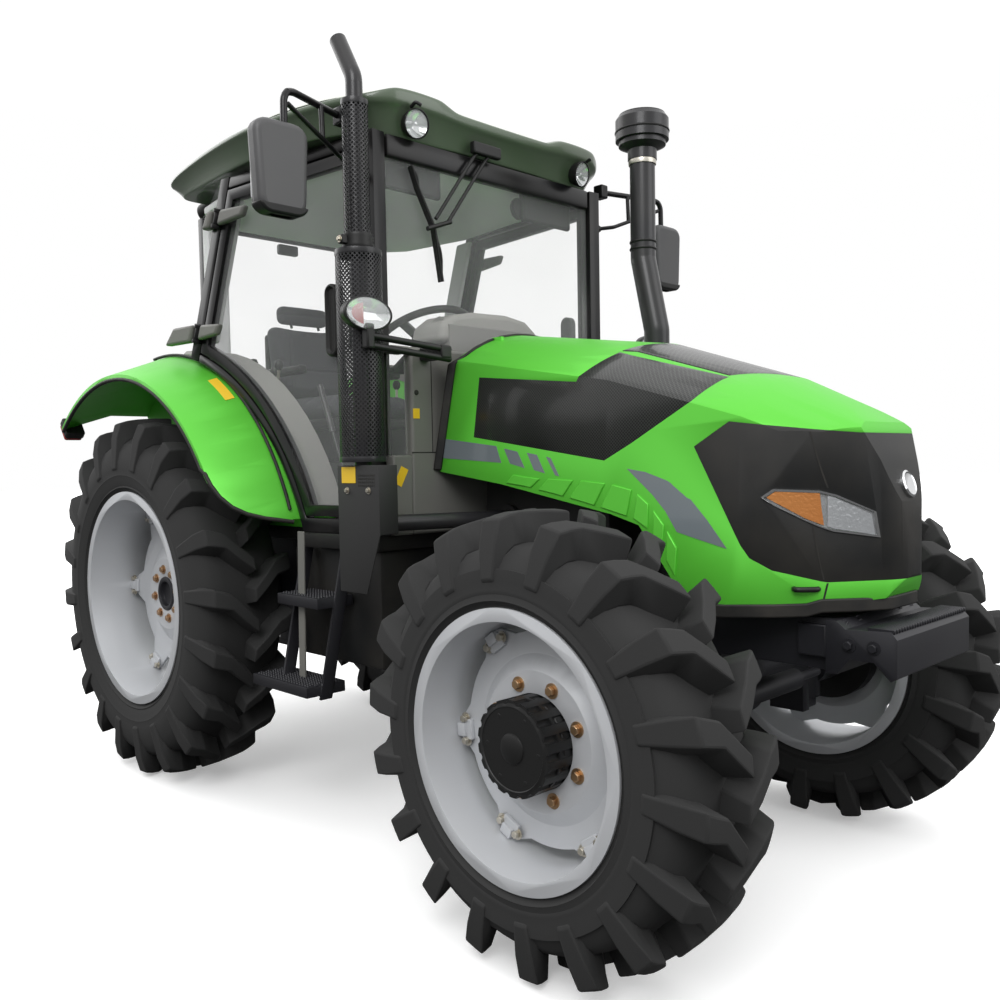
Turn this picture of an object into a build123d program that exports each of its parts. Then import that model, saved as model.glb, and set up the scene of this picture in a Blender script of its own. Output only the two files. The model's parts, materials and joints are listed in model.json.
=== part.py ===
"""Farm tractor, four-wheel drive, with a four-post cab.

Millimetres. +X forward, +Y left, +Z up; the origin is on the ground, below the middle of
the whole outline. Most places are given as a distance ahead of the rear axle.
"""

import math
import os

from build123d import *

os.makedirs("parts", exist_ok=True)

# ---------------------------------------------------------------- driving sizes
WHEELBASE = 2180
REAR_AXLE_X = -880
FRONT_AXLE_X = REAR_AXLE_X + WHEELBASE
RUNNING = 0.05  # radial clearance of a shaft in its bore
SEAT = 0.3  # gap of a piece that is slipped on to another

# wheels: tip radius, half width and middle plane of the tyre; radius and half width of the rim
REAR_TYRE_R = 715
REAR_TYRE_HALF = 185
REAR_WHEEL_Y = 649
REAR_RIM_R = 423
REAR_RIM_HALF = 160
FRONT_TYRE_R = 558
FRONT_TYRE_HALF = 160
FRONT_WHEEL_Y = 723
FRONT_RIM_R = 333
FRONT_RIM_HALF = 148
RIM_WALL = 8
FLANGE_H = 25
WELL_DROP = 6
BEAD_SEAT = 45  # width of the ledge that carries the tyre's bead
WELL_RAMP = 15
DISC_T = 14
LUG_DEPTH = 75
REAR_LUG_COUNT, FRONT_LUG_COUNT = 20, 18
REAR_LOBE_ANGLE, FRONT_LOBE_ANGLE = 59, 5

# hubs and steering
REAR_HUB_FACE_Y = 641
REAR_HUB_R = 135
REAR_BORE_R = 70
FRONT_HUB_FACE_Y = 754
FRONT_HUB_R = 165
FRONT_BORE_R = 116
KINGPIN_Y = 530
KINGPIN_R = 22
YOKE_H = 250
DIFF_R = 105
STEER_ARM = 170
TIE_Z = FRONT_TYRE_R - 118

# driveline
GEARBOX_HALF = 190
FRAME_HALF = 195
FRAME_PLATE = 25
FRAME_Z = FRONT_TYRE_R + 162
FRAME_H = 110
FRAME_REAR, FRAME_FRONT = 1500, 2640
NOSE_PLATE = 30
BELLY_LENGTH, BELLY_T = 670, 20
ENGINE_HALF = FRAME_HALF - FRAME_PLATE

# cab
A_POST_X, A_POST_Y = 1290, 552
B_POST_X, B_POST_Y = 345, 655
B_FOOT_Z = 1640
B_LEAN = 0.365  # how far the door post leans forward for each unit of height
C_POST_X = -30
POST = 50
FLOOR_Z = 1000
FLOOR_T = 50
SILL_Z = 1050
EAVE_Z = 2270
HEADER_H = 40
GLASS_T = 6
DOOR_T = 32
DOOR_GAP = 6
DOOR_RIM = 38

# hood
HINGE_X, HINGE_Z = 1465, 1588
HINGE_PIN_R = 10
HINGE_Y = 160
HOOD_REAR_X = 1368
HOOD_WALL = 8
NOSE_X = 2768

# fender, as radii about the rear axle and distances from the middle plane
FENDER_T = 8
FENDER_R = 965
FENDER_LIP_R = 880
FENDER_IN_Y = 432
C_POST_Y = FENDER_IN_Y
FENDER_SHOULDER_Y = 610
FENDER_OUT_Y = 845
FENDER_FROM, FENDER_TO = 20, 128

# stacks
EXHAUST_X, EXHAUST_Y = 1370, -656
EXHAUST_TIP_Z = 2510
INTAKE_X, INTAKE_Y = 1617, 428

# rear linkage
LINK_Y = 300
LINK_X, LINK_Z = -170, 480
LINK_L = 830
LINK_HALF_W = 12
ROD_AT = 400
ARM_X, ARM_Z = -190, 1000
PIN_R = 14
EYE_R = 14.35
SHAFT_R = 30


def ahead(distance):
    """The x of a place that lies this far ahead of the rear axle."""
    return REAR_AXLE_X + distance


def both_sides(part):
    """A left-hand solid and its mirror image on the right."""
    return Compound(children=[part, mirror(part, about=Plane.XZ)])


def save(part, name):
    """Label a finished piece and write it."""
    part.label = name
    export_step(part, f"parts/{name}.step")


def wheel_plane(x, y, z, side):
    """The plane of a wheel, with its normal pointing away from the tractor."""
    return Plane(origin=(x, side * y, z), x_dir=(1, 0, 0), z_dir=(0, side, 0))


SIDES = (("left", 1), ("right", -1))

# ---------------------------------------------------------------- wheels
# name, x, middle plane, tip radius, half width, rim radius, rim half width, hub face, hub bore,
# radius of the disc's centre, its dish, radius at the foot of the dish, edge radius, first lobe in degrees, lugs a row
WHEELS = (
    ("rear", REAR_AXLE_X, REAR_WHEEL_Y, REAR_TYRE_R, REAR_TYRE_HALF, REAR_RIM_R, REAR_RIM_HALF,
     REAR_HUB_FACE_Y, REAR_BORE_R, 145, 35, 205, 290, REAR_LOBE_ANGLE, REAR_LUG_COUNT),
    ("front", FRONT_AXLE_X, FRONT_WHEEL_Y, FRONT_TYRE_R, FRONT_TYRE_HALF, FRONT_RIM_R, FRONT_RIM_HALF,
     FRONT_HUB_FACE_Y, FRONT_BORE_R, 172, 28, 208, 262, FRONT_LOBE_ANGLE, FRONT_LUG_COUNT),
)
LOBES = 6
LOBE_ROOT_HALF, LOBE_TIP_HALF = 70, 26
CLAMP_LENGTH, CLAMP_WIDTH, CLAMP_DEPTH = 26, 34, 22
LUG_T = 24  # half the thickness of a lug at its crown
LUG_OVERLAP = 4  # how far a lug passes the middle of the tyre


def tyre_solid(tip_r, half, rim_r, rim_half, count):
    """A tyre about the Y axis: a carcass of flat facets, two to each lug, with a row of lugs on either side."""
    bead_y = rim_half - RIM_WALL - SEAT
    floor_r = tip_r - LUG_DEPTH
    side_r = rim_r + 0.45 * (floor_r - rim_r)
    quarter = [(0.78 * half, floor_r - 14), (half - 3, side_r), (bead_y, rim_r + 8), (bead_y, rim_r - FLANGE_H + SEAT)]
    section = [(-across, radius) for across, radius in reversed(quarter)] + quarter

    def corner(across, radius, step):
        """A section point at one step of the ring; the facets' middles lie on the true radius."""
        turn = 2 * math.pi * (step + 0.5) / count
        reach = radius / math.cos(math.pi / count)
        return Vector(reach * math.cos(turn), across, reach * math.sin(turn))

    facets = [Face(Wire.make_polygon([corner(*a, step), corner(*b, step), corner(*b, step + 1), corner(*a, step + 1)],
                                     close=True))
              for step in range(count) for a, b in zip(section, section[1:] + section[:1])]
    carcass = Solid(Shell(facets))
    # one lug at the top of the tyre, leaning back from the middle to the shoulder
    foot_r = side_r + 10
    knee = 0.5 * half
    lead = (knee - LUG_OVERLAP) * math.tan(math.radians(42))
    tail = lead + (half + 1 - knee) * math.tan(math.radians(20))
    crown_r = math.sqrt(tip_r ** 2 - (tail / 2 + LUG_T * 1.1) ** 2)  # its corners reach the tip radius
    with BuildPart() as lug:
        with BuildSketch(Plane.XY.offset(crown_r)):
            with BuildLine():
                Polyline((tail / 2 - LUG_T * 1.1, LUG_OVERLAP), (tail / 2 + LUG_T * 1.1, LUG_OVERLAP),
                         (LUG_T * 0.9 - tail / 2, half + 1), (-LUG_T * 0.9 - tail / 2, half + 1), close=True)
            make_face()
        extrude(amount=foot_r - crown_r, taper=-4)
        with BuildSketch(Plane.YZ):
            with BuildLine():
                Polyline((LUG_OVERLAP - 60, foot_r - 1), (LUG_OVERLAP - 60, tip_r), (0.8 * half, tip_r),
                         (half + 1, foot_r - 1), close=True)
            make_face()
        extrude(amount=400, both=True, mode=Mode.INTERSECT)
    near = lug.part.solid()
    far = mirror(near, about=Plane.XZ)
    pitch = 360 / count
    lugs = [one.rotate(Axis.Y, pitch * (step + shift)) for one, shift in ((near, 0), (far, 0.5)) for step in range(count)]
    return carcass.fuse(*lugs)


for (axle, x, y, tip_r, half, rim_r, rim_half, face_y, bore_r, centre_r, dish, dish_r, edge_r, first_lobe,
     lug_count) in WHEELS:
    z = tip_r
    seat_r = rim_r - FLANGE_H
    well_r = seat_r - WELL_DROP
    disc_y = face_y - y
    tyre = tyre_solid(tip_r, half, rim_r, rim_half, lug_count)
    for side_name, side in SIDES:
        save(Pos(x, side * y, z) * tyre, f"tyre_{axle}_{side_name}")
        middle = Plane(origin=(x, side * y, z), x_dir=(0, side, 0), z_dir=(1, 0, 0))
        # rim: flanges, bead seats and well in one rolled ring, and the dished disc
        with BuildPart() as rim:
            with BuildSketch(middle):
                with BuildLine():
                    under = [(rim_half, rim_r), (rim_half, seat_r - RIM_WALL), (rim_half - BEAD_SEAT, seat_r - RIM_WALL),
                             (rim_half - BEAD_SEAT - WELL_RAMP, well_r - RIM_WALL)]
                    over = [(rim_half - BEAD_SEAT - WELL_RAMP - RIM_WALL / 2, well_r),
                            (rim_half - BEAD_SEAT - RIM_WALL / 2, seat_r), (rim_half - RIM_WALL, seat_r),
                            (rim_half - RIM_WALL, rim_r)]
                    Polyline(*under, *[(-px, pr) for px, pr in reversed(under)], *[(-px, pr) for px, pr in reversed(over)],
                             *over, close=True)
                make_face()
                with BuildLine():
                    Polyline(
                        (disc_y, bore_r), (disc_y, centre_r - 6), (disc_y - dish, dish_r - 6), (disc_y - dish, edge_r),
                        (disc_y - dish + DISC_T, edge_r), (disc_y - dish + DISC_T, dish_r),
                        (disc_y + DISC_T, centre_r), (disc_y + DISC_T, bore_r),
                        close=True)
                make_face()
            revolve(axis=Axis((x, 0, z), (0, 1, 0)))
            # lobes that carry the disc in the well, each with its clamp
            for turn in range(LOBES):
                angle = math.radians(first_lobe + turn * 360 / LOBES)
                spoke = Plane(origin=(x, side * (face_y - dish), z), x_dir=(math.cos(angle), 0, math.sin(angle)),
                              z_dir=(0, side, 0))
                root, shoulder, tip = edge_r - 1.5 * RIM_WALL, well_r - 1.5 * RIM_WALL, well_r - RIM_WALL / 2
                with BuildSketch(spoke):
                    with BuildLine():
                        Polyline((root, -LOBE_ROOT_HALF), (shoulder, -LOBE_TIP_HALF), (tip, 0), (shoulder, LOBE_TIP_HALF),
                                 (root, LOBE_ROOT_HALF), close=True)
                    make_face()
                extrude(amount=DISC_T)
                with BuildSketch(spoke.offset(DISC_T - 1)):
                    with Locations((well_r - CLAMP_LENGTH, 0)):
                        Rectangle(CLAMP_LENGTH, CLAMP_WIDTH)
                extrude(amount=CLAMP_DEPTH)
        save(rim.part, f"rim_{axle}_{side_name}")

# ---------------------------------------------------------------- front hubs, knuckles, tie rod
HUB_CAP_OUT = 850
HUB_SCALLOPS = 18
for side_name, side in SIDES:
    hub_plane = wheel_plane(FRONT_AXLE_X, FRONT_HUB_FACE_Y - 60, FRONT_TYRE_R, side)
    with BuildPart() as hub:
        with BuildSketch(hub_plane):
            Circle(FRONT_HUB_R)
            Circle(45 + RUNNING, mode=Mode.SUBTRACT)
        extrude(amount=60 - SEAT)
        with BuildSketch(hub_plane.offset(60 - SEAT)):
            Circle(FRONT_BORE_R - SEAT)
            with PolarLocations(FRONT_BORE_R + 3, HUB_SCALLOPS):
                Circle(10, mode=Mode.SUBTRACT)
        extrude(amount=HUB_CAP_OUT - FRONT_HUB_FACE_Y + SEAT)
    save(hub.part, f"hub_front_{side_name}")

    with BuildPart() as knuckle:
        with BuildSketch(Plane.XY.offset(FRONT_TYRE_R - YOKE_H / 2 + 1)):
            with Locations((FRONT_AXLE_X, side * KINGPIN_Y)):
                Circle(58)
        extrude(amount=YOKE_H - 2)
        with BuildSketch(Plane.XY.offset(FRONT_TYRE_R - YOKE_H / 2 - 30)):
            with Locations((FRONT_AXLE_X, side * KINGPIN_Y)):
                Circle(KINGPIN_R)
        extrude(amount=YOKE_H + 60)
        with BuildSketch(wheel_plane(FRONT_AXLE_X, KINGPIN_Y, FRONT_TYRE_R, side)):
            Circle(92)
        extrude(amount=FRONT_HUB_FACE_Y - 61 - KINGPIN_Y)
        with BuildSketch(wheel_plane(FRONT_AXLE_X, FRONT_HUB_FACE_Y - 61, FRONT_TYRE_R, side)):
            Circle(45)
        extrude(amount=60)
        with BuildSketch(Plane.XY.offset(TIE_Z + 20)):
            with Locations((FRONT_AXLE_X - STEER_ARM / 2, side * KINGPIN_Y)):
                Rectangle(STEER_ARM, 44)
            with Locations((FRONT_AXLE_X - STEER_ARM, side * KINGPIN_Y)):
                Circle(22)
        extrude(amount=24)
        with BuildSketch(Plane.XY.offset(TIE_Z - 18)):
            with Locations((FRONT_AXLE_X - STEER_ARM, side * KINGPIN_Y)):
                Circle(9)
        extrude(amount=40)
    save(knuckle.part, f"knuckle_{side_name}")

with BuildPart() as tie_rod:
    with BuildSketch(Plane(origin=(FRONT_AXLE_X - STEER_ARM, -KINGPIN_Y, TIE_Z), z_dir=(0, 1, 0))):
        Circle(16)
    extrude(amount=2 * KINGPIN_Y)
    with BuildSketch(Plane.XY.offset(TIE_Z - 18)):
        with Locations(*[(FRONT_AXLE_X - STEER_ARM, s * KINGPIN_Y) for s in (1, -1)]):
            Circle(24)
    extrude(amount=36)
    with BuildSketch(Plane.XY.offset(TIE_Z - 20)):
        with Locations(*[(FRONT_AXLE_X - STEER_ARM, s * KINGPIN_Y) for s in (1, -1)]):
            Circle(9 + RUNNING)
    extrude(amount=40, mode=Mode.SUBTRACT)
save(tie_rod.part, "tie_rod")

# ---------------------------------------------------------------- axles and frame
with BuildPart() as front_axle:
    with BuildSketch(Plane(origin=(FRONT_AXLE_X, -KINGPIN_Y + 75, FRONT_TYRE_R), z_dir=(0, 1, 0))):
        Circle(66)
    extrude(amount=2 * (KINGPIN_Y - 75))
    with BuildSketch(Plane(origin=(FRONT_AXLE_X, 0, FRONT_TYRE_R), x_dir=(0, 1, 0), z_dir=(1, 0, 0))):
        with BuildLine():
            Polyline((-150, 0), (-120, DIFF_R), (120, DIFF_R), (150, 0), close=True)
        make_face()
    revolve(axis=Axis((FRONT_AXLE_X, 0, FRONT_TYRE_R), (0, 1, 0)))
    # the yokes that hold the kingpins
    for s in (1, -1):
        with BuildSketch(Plane(origin=(FRONT_AXLE_X, 0, FRONT_TYRE_R), x_dir=(0, 1, 0), z_dir=(1, 0, 0))):
            with Locations((s * (KINGPIN_Y - 85), 0)):
                Rectangle(40, YOKE_H + 60)
        extrude(amount=60, both=True)
        for z in (FRONT_TYRE_R + YOKE_H / 2, FRONT_TYRE_R - YOKE_H / 2 - 30):
            with BuildSketch(Plane.XY.offset(z)):
                with Locations((FRONT_AXLE_X, s * (KINGPIN_Y - 50))):
                    Rectangle(90, 100)
                with Locations((FRONT_AXLE_X, s * KINGPIN_Y)):
                    Circle(45)
                    Circle(KINGPIN_R + RUNNING, mode=Mode.SUBTRACT)
            extrude(amount=30)
save(front_axle.part, "front_axle")

GEARBOX_REAR = -260
REAR_PROFILE = ((GEARBOX_REAR, 560), (GEARBOX_REAR, 1045), (-90, 1045), (-90, 925), (1080, 925), (1080, 520), (620, 470),
                (0, 520), (-150, 520))
PTO_Z, PTO_R, PTO_OUT = 600, 17.5, 75
PTO_GUARD_HALF, PTO_GUARD_RISE, PTO_GUARD_OUT, PTO_GUARD_T = 110, 95, 120, 6
TOP_LINK_X, TOP_LINK_Z, TOP_LINK_PIN_R = -310, 850, 12.5
TOP_LINK_GAP, TOP_LINK_CHEEK, TOP_LINK_HALF_H = 26, 14, 50
with BuildPart() as gearbox:
    with BuildSketch(Plane.XZ):
        with BuildLine():
            Polyline(*[(ahead(px), pz) for px, pz in REAR_PROFILE], close=True)
        make_face()
        with Locations((ahead(ARM_X), ARM_Z)):
            Circle(SHAFT_R + RUNNING, mode=Mode.SUBTRACT)
    extrude(amount=GEARBOX_HALF, both=True)
    # brackets and pins that carry the lower links
    for s in (1, -1):
        with BuildSketch(Plane.XZ.offset(-s * (GEARBOX_HALF - 40))):
            with Locations((ahead(LINK_X), LINK_Z + 40)):
                Rectangle(90, 170)
        extrude(amount=-s * 60)
        with BuildSketch(Plane.XZ.offset(-s * GEARBOX_HALF)):
            with Locations((ahead(LINK_X), LINK_Z)):
                Circle(PIN_R)
        extrude(amount=-s * (LINK_Y + LINK_HALF_W + 8 - GEARBOX_HALF))
    # power take-off shaft under its guard
    rear_face = Plane.YZ.offset(ahead(GEARBOX_REAR))
    with BuildSketch(rear_face):
        with Locations((0, PTO_Z)):
            Circle(PTO_R)
    extrude(amount=-PTO_OUT)
    with BuildSketch(rear_face):
        with Locations((0, PTO_Z + PTO_GUARD_RISE)):
            Rectangle(2 * PTO_GUARD_HALF, PTO_GUARD_T)
        for s in (1, -1):
            with Locations((s * (PTO_GUARD_HALF - PTO_GUARD_T / 2), PTO_Z + PTO_GUARD_RISE / 2)):
                Rectangle(PTO_GUARD_T, PTO_GUARD_RISE)
    extrude(amount=-PTO_GUARD_OUT)
    # bracket and pin for the top link
    for s in (1, -1):
        with BuildSketch(Plane.XZ.offset(-s * TOP_LINK_GAP)):
            with Locations((ahead((GEARBOX_REAR + TOP_LINK_X) / 2), TOP_LINK_Z)):
                Rectangle(GEARBOX_REAR - TOP_LINK_X, 2 * TOP_LINK_HALF_H)
            with Locations((ahead(TOP_LINK_X), TOP_LINK_Z)):
                Circle(2 * TOP_LINK_PIN_R)
        extrude(amount=-s * TOP_LINK_CHEEK)
    with BuildSketch(Plane.XZ):
        with Locations((ahead(TOP_LINK_X), TOP_LINK_Z)):
            Circle(TOP_LINK_PIN_R)
    extrude(amount=TOP_LINK_GAP + TOP_LINK_CHEEK, both=True)
save(gearbox.part, "gearbox_housing")

with BuildPart() as rear_axle:
    for s in (1, -1):
        with BuildSketch(wheel_plane(REAR_AXLE_X, GEARBOX_HALF, REAR_TYRE_R, s)):
            Circle(130)
        extrude(amount=160)
        with BuildSketch(wheel_plane(REAR_AXLE_X, GEARBOX_HALF + 160, REAR_TYRE_R, s)):
            Circle(100)
        extrude(amount=REAR_HUB_FACE_Y - 60 - GEARBOX_HALF - 160)
        with BuildSketch(wheel_plane(REAR_AXLE_X, REAR_HUB_FACE_Y - 60, REAR_TYRE_R, s)):
            Circle(REAR_HUB_R)
        extrude(amount=60 - SEAT)
        with BuildSketch(wheel_plane(REAR_AXLE_X, REAR_HUB_FACE_Y - SEAT, REAR_TYRE_R, s)):
            Circle(REAR_BORE_R - SEAT)
            Circle(50, mode=Mode.SUBTRACT)
        extrude(amount=DISC_T + 6)
save(rear_axle.part, "rear_axle")

ENGINE_REAR, ENGINE_FRONT = 1080, 1930
with BuildPart() as engine:
    with BuildSketch(Plane.XZ):
        with BuildLine():
            Polyline(*[(ahead(px), pz) for px, pz in
                       ((ENGINE_REAR, 520), (ENGINE_REAR, 925), (ENGINE_REAR + 300, 925), (ENGINE_REAR + 340, 1400),
                        (ENGINE_FRONT, 1360), (ENGINE_FRONT, 720), (ENGINE_FRONT - 120, 720),
                        (ENGINE_FRONT - 200, 520))], close=True)
        make_face()
    extrude(amount=ENGINE_HALF, both=True)
save(engine.part, "engine_block")

with BuildPart() as front_frame:
    with BuildSketch(Plane.XY.offset(FRAME_Z)):
        for s in (1, -1):
            with Locations((ahead((FRAME_REAR + FRAME_FRONT) / 2), s * (FRAME_HALF - FRAME_PLATE / 2))):
                Rectangle(FRAME_FRONT - FRAME_REAR, FRAME_PLATE)
        with Locations((ahead(FRAME_FRONT - NOSE_PLATE / 2), 0)):
            Rectangle(NOSE_PLATE, 2 * FRAME_HALF)
    extrude(amount=FRAME_H)
    with BuildSketch(Plane.XY.offset(FRAME_Z)):
        with Locations((ahead(FRAME_FRONT - BELLY_LENGTH / 2), 0)):
            Rectangle(BELLY_LENGTH, 2 * FRAME_HALF)
    extrude(amount=-BELLY_T)
    with BuildSketch(Plane.XY.offset(FRAME_Z - BELLY_T)):
        with Locations((FRONT_AXLE_X, 0)):
            Rectangle(200, 240)
    extrude(amount=-(FRAME_Z - BELLY_T - FRONT_TYRE_R - DIFF_R - SEAT))
save(front_frame.part, "front_frame")

# bumper beam: a plate against the frame's nose and a channel beam with a pin slot; distances ahead of the nose
# plate and heights above the frame's foot
BRACKET_SECTION = ((0, -20), (0, FRAME_H), (28, FRAME_H), (50, 92), (160, 97), (175, 80), (175, -10), (160, -20), (120, 20),
                   (60, 20), (28, -20))
BRACKET_HALF = 225
PIN_SLOT_AHEAD, PIN_SLOT_LENGTH, PIN_SLOT_WIDTH = 115, 150, 46
with BuildPart() as front_bracket:
    with BuildSketch(Plane.XZ):
        with BuildLine():
            Polyline(*[(ahead(FRAME_FRONT + dx), FRAME_Z + dz) for dx, dz in BRACKET_SECTION], close=True)
        make_face()
    extrude(amount=BRACKET_HALF, both=True)
    with BuildSketch(Plane.XY.offset(FRAME_Z)):
        with Locations((ahead(FRAME_FRONT + PIN_SLOT_AHEAD), 0)):
            RectangleRounded(PIN_SLOT_WIDTH, PIN_SLOT_LENGTH, 20)
    extrude(amount=2 * FRAME_H, both=True, mode=Mode.SUBTRACT)
save(front_bracket.part, "front_bracket")

# the radiator stands on the frame, under the hood
RADIATOR_X, RADIATOR_T, RADIATOR_WIDTH, RADIATOR_TOP_Z = 2330, 90, 500, 1300
with BuildPart() as radiator:
    with BuildSketch(Plane.XY.offset(FRAME_Z + FRAME_H)):
        with Locations((ahead(RADIATOR_X), 0)):
            Rectangle(RADIATOR_T, RADIATOR_WIDTH)
    extrude(amount=RADIATOR_TOP_Z - FRAME_Z - FRAME_H)
save(radiator.part, "radiator")

# ---------------------------------------------------------------- hood
# x ahead of the rear axle, half width at the bottom, half width and height at the shoulder, crown height
HOOD_SECTIONS = (
    (HOOD_REAR_X, 372, 325, 1568, 1671),
    (2050, 366, 318, 1448, 1572),
    (2450, 350, 292, 1330, 1442),
    (NOSE_X, 320, 240, 1200, 1290),
)
HOOD_FOOT_Z = 780
HOOD_TOP_Z = 1800
# the hood from the side: its foot from the cab to the nose, then up the front
HOOD_FOOT = ((HOOD_REAR_X, 1200), (1648, 1160), (2073, 1079), (2166, 1051), (2271, 919), (2319, 852), (2533, 858),
             (2673, 868), (2734, 877))
HOOD_FRONT = ((NOSE_X - 2, 929), (NOSE_X, 1000), (2756, 1114), (2725, 1214), (2687, 1311), (2595, 1376))
HOOD_REAR_TOP_X = 1470
# the hood from above: where its sides turn in, the crease beside the lamps, and where the nose starts to curve
NOSE_PLAN = ((2430, 345), (2630, 225), (2724, 110))


def side_face(points):
    """Closed outline in the side view, from distances ahead of the rear axle and heights."""
    with BuildLine() as outline:
        Polyline(*[(ahead(px), pz) for px, pz in points], close=True)
    return outline.line


def hood_block(inset):
    """The closed body of the hood, drawn in by the inset at its sides, top and front, and let out below and behind."""
    with BuildPart() as block:
        for sx, foot, shoulder, shoulder_z, crown_z in HOOD_SECTIONS:
            with BuildSketch(Plane(origin=(ahead(sx), 0, 0), x_dir=(0, 1, 0), z_dir=(1, 0, 0))):
                with BuildLine():
                    Polyline((-shoulder + inset, shoulder_z - inset), (-foot + inset, HOOD_FOOT_Z),
                             (foot - inset, HOOD_FOOT_Z), (shoulder - inset, shoulder_z - inset))
                    ThreePointArc((shoulder - inset, shoulder_z - inset), (0, crown_z - inset),
                                  (-shoulder + inset, shoulder_z - inset))
                make_face()
        loft(ruled=True)
        (turn_x, turn_y), (crease_x, crease_y), (curve_x, curve_y) = NOSE_PLAN
        plan = [(ahead(turn_x), turn_y - inset), (ahead(crease_x - inset), crease_y - inset / 2),
                (ahead(curve_x - inset), curve_y - inset / 2)]
        behind = ahead(HOOD_REAR_X) - 1
        with BuildSketch(Plane.XY.offset(HOOD_FOOT_Z)):
            with BuildLine():
                Polyline(*[(px, -py) for px, py in reversed(plan)], (ahead(turn_x), -700), (behind, -700), (behind, 700),
                         (ahead(turn_x), 700), *plan)
                ThreePointArc(plan[-1], (ahead(NOSE_X - inset), 0), (plan[-1][0], -plan[-1][1]))
            make_face()
        extrude(amount=1100, mode=Mode.INTERSECT)
        with BuildSketch(Plane.XZ):
            foot_line = [(px, pz - inset) for px, pz in HOOD_FOOT[1:-1]]
            nose_foot = (HOOD_FOOT[-1][0] - inset, HOOD_FOOT[-1][1] - inset)
            front_line = [(px - inset, pz) for px, pz in HOOD_FRONT]
            with BuildLine():
                add(side_face([(HOOD_REAR_X - inset, HOOD_FOOT[0][1] - inset), *foot_line, nose_foot, *front_line,
                               (HOOD_FRONT[-1][0] - inset, HOOD_TOP_Z), (HOOD_REAR_TOP_X - inset, HOOD_TOP_Z)]))
            make_face()
        extrude(amount=700, both=True, mode=Mode.INTERSECT)
    return block.part


hood_outer = hood_block(0)
hood_inner = hood_block(HOOD_WALL)
with BuildPart() as shell:
    add(hood_outer)
    add(hood_inner, mode=Mode.SUBTRACT)
GRILLE_OUTLINE = ((2418, 1319), (2323, 1258), (2484, 978), (2530, 948), (2640, 920), (2900, 925), (2900, 1280),
                  (2692, 1283), (2605, 1294))
LAMP_OUTLINE = ((2508, 1129), (2533, 1149), (2627, 1144), (2654, 1133), (2717, 1090), (2724, 1027), (2649, 1044),
                (2596, 1072), (2535, 1108))
WINDOW_OUTLINE = ((1540, 1494), (1522, 1307), (2045, 1226), (2129, 1270), (2249, 1340), (2306, 1374), (2336, 1434),
                  (2343, 1442), (1994, 1539), (1972, 1509), (1935, 1452))
# the mesh panel in the crown, from above: rear corners, rear middle, front middle, front corners; and its margin
CROWN_PANEL = ((1994, 180), (2060, 0), (2455, 0), (2343, 160))
CROWN_MARGIN = 6


def crown_panel(margin):
    """A block that cuts the mesh panel, its slanted ends drawn out sideways by a margin, from the hood's crown."""
    (rear_x, rear_y), (rear_mid, _), (front_mid, _), (front_x, front_y) = CROWN_PANEL
    rear_x -= margin * (rear_mid - rear_x) / rear_y
    front_x -= margin * (front_mid - front_x) / front_y
    with BuildPart() as block:
        with BuildSketch(Plane.XY.offset(1380)):
            with BuildLine():
                Polyline((ahead(rear_mid), 0), (ahead(rear_x), rear_y + margin), (ahead(front_x), front_y + margin),
                         (ahead(front_mid), 0), (ahead(front_x), -front_y - margin), (ahead(rear_x), -rear_y - margin),
                         close=True)
            make_face()
        extrude(amount=400)
    return block.part


def side_block(points):
    """A side outline pushed right through the tractor."""
    with BuildPart() as block:
        with BuildSketch(Plane.XZ):
            with BuildLine():
                add(side_face(points))
            make_face()
        extrude(amount=700, both=True)
    return block.part


with BuildPart() as headlamps:
    add(shell.part)
    add(side_block(LAMP_OUTLINE), mode=Mode.INTERSECT)
with BuildPart() as grille:
    add(shell.part)
    add(side_block(GRILLE_OUTLINE), mode=Mode.INTERSECT)
    add(side_block(LAMP_OUTLINE), mode=Mode.SUBTRACT)
with BuildPart() as window_mesh:
    add(shell.part)
    add(side_block(WINDOW_OUTLINE), mode=Mode.INTERSECT)
with BuildPart() as crown_mesh:
    add(shell.part)
    add(crown_panel(0), mode=Mode.INTERSECT)
with BuildPart() as hood:
    add(shell.part)
    for opening in (side_block(GRILLE_OUTLINE), side_block(WINDOW_OUTLINE), crown_panel(CROWN_MARGIN)):
        add(opening, mode=Mode.SUBTRACT)
    # hinge lugs under the crown
    for s in (1, -1):
        with BuildSketch(Plane.XZ.offset(-s * HINGE_Y)):
            with Locations((ahead(HINGE_X), HINGE_Z)):
                Circle(22)
            with Locations((ahead(HINGE_X), HINGE_Z + 26)):
                Rectangle(44, 52)
            with Locations((ahead(HINGE_X), HINGE_Z)):
                Circle(HINGE_PIN_R + RUNNING, mode=Mode.SUBTRACT)
        extrude(amount=-s * 12)
save(Compound(children=[*window_mesh.part.solids(), *crown_mesh.part.solids()]), "hood_mesh")
save(Compound(children=[*headlamps.part.solids()]), "headlamps")
save(grille.part, "grille")
save(hood.part, "hood_shell")


# ---------------------------------------------------------------- cab
TAPER = (B_POST_Y - A_POST_Y) / (A_POST_X - B_POST_X)
TURN = math.atan(TAPER)
SIDE_PLANE = Plane(origin=(ahead(B_POST_X), B_POST_Y, 0), x_dir=(math.cos(TURN), -math.sin(TURN), 0),
                   z_dir=(-math.sin(TURN), -math.cos(TURN), 0))
A_EDGE = (A_POST_X - POST / 2 - B_POST_X) / math.cos(TURN)  # rear edge of the front post
WHEEL_S = -B_POST_X / math.cos(TURN)  # the rear axle, seen square to the side plane
BAND_R = FENDER_R + 41  # rear lower edge of the door opening, about the rear axle


def on_post(z, gap=0):
    """Place along the side plane of the door post's front edge at this height."""
    return (z - B_FOOT_Z) * B_LEAN + gap


def on_arc(radius, z):
    """Place along the side plane of an arc about the rear axle at this height."""
    return WHEEL_S + math.sqrt(radius ** 2 - (z - REAR_TYRE_R) ** 2)


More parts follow.
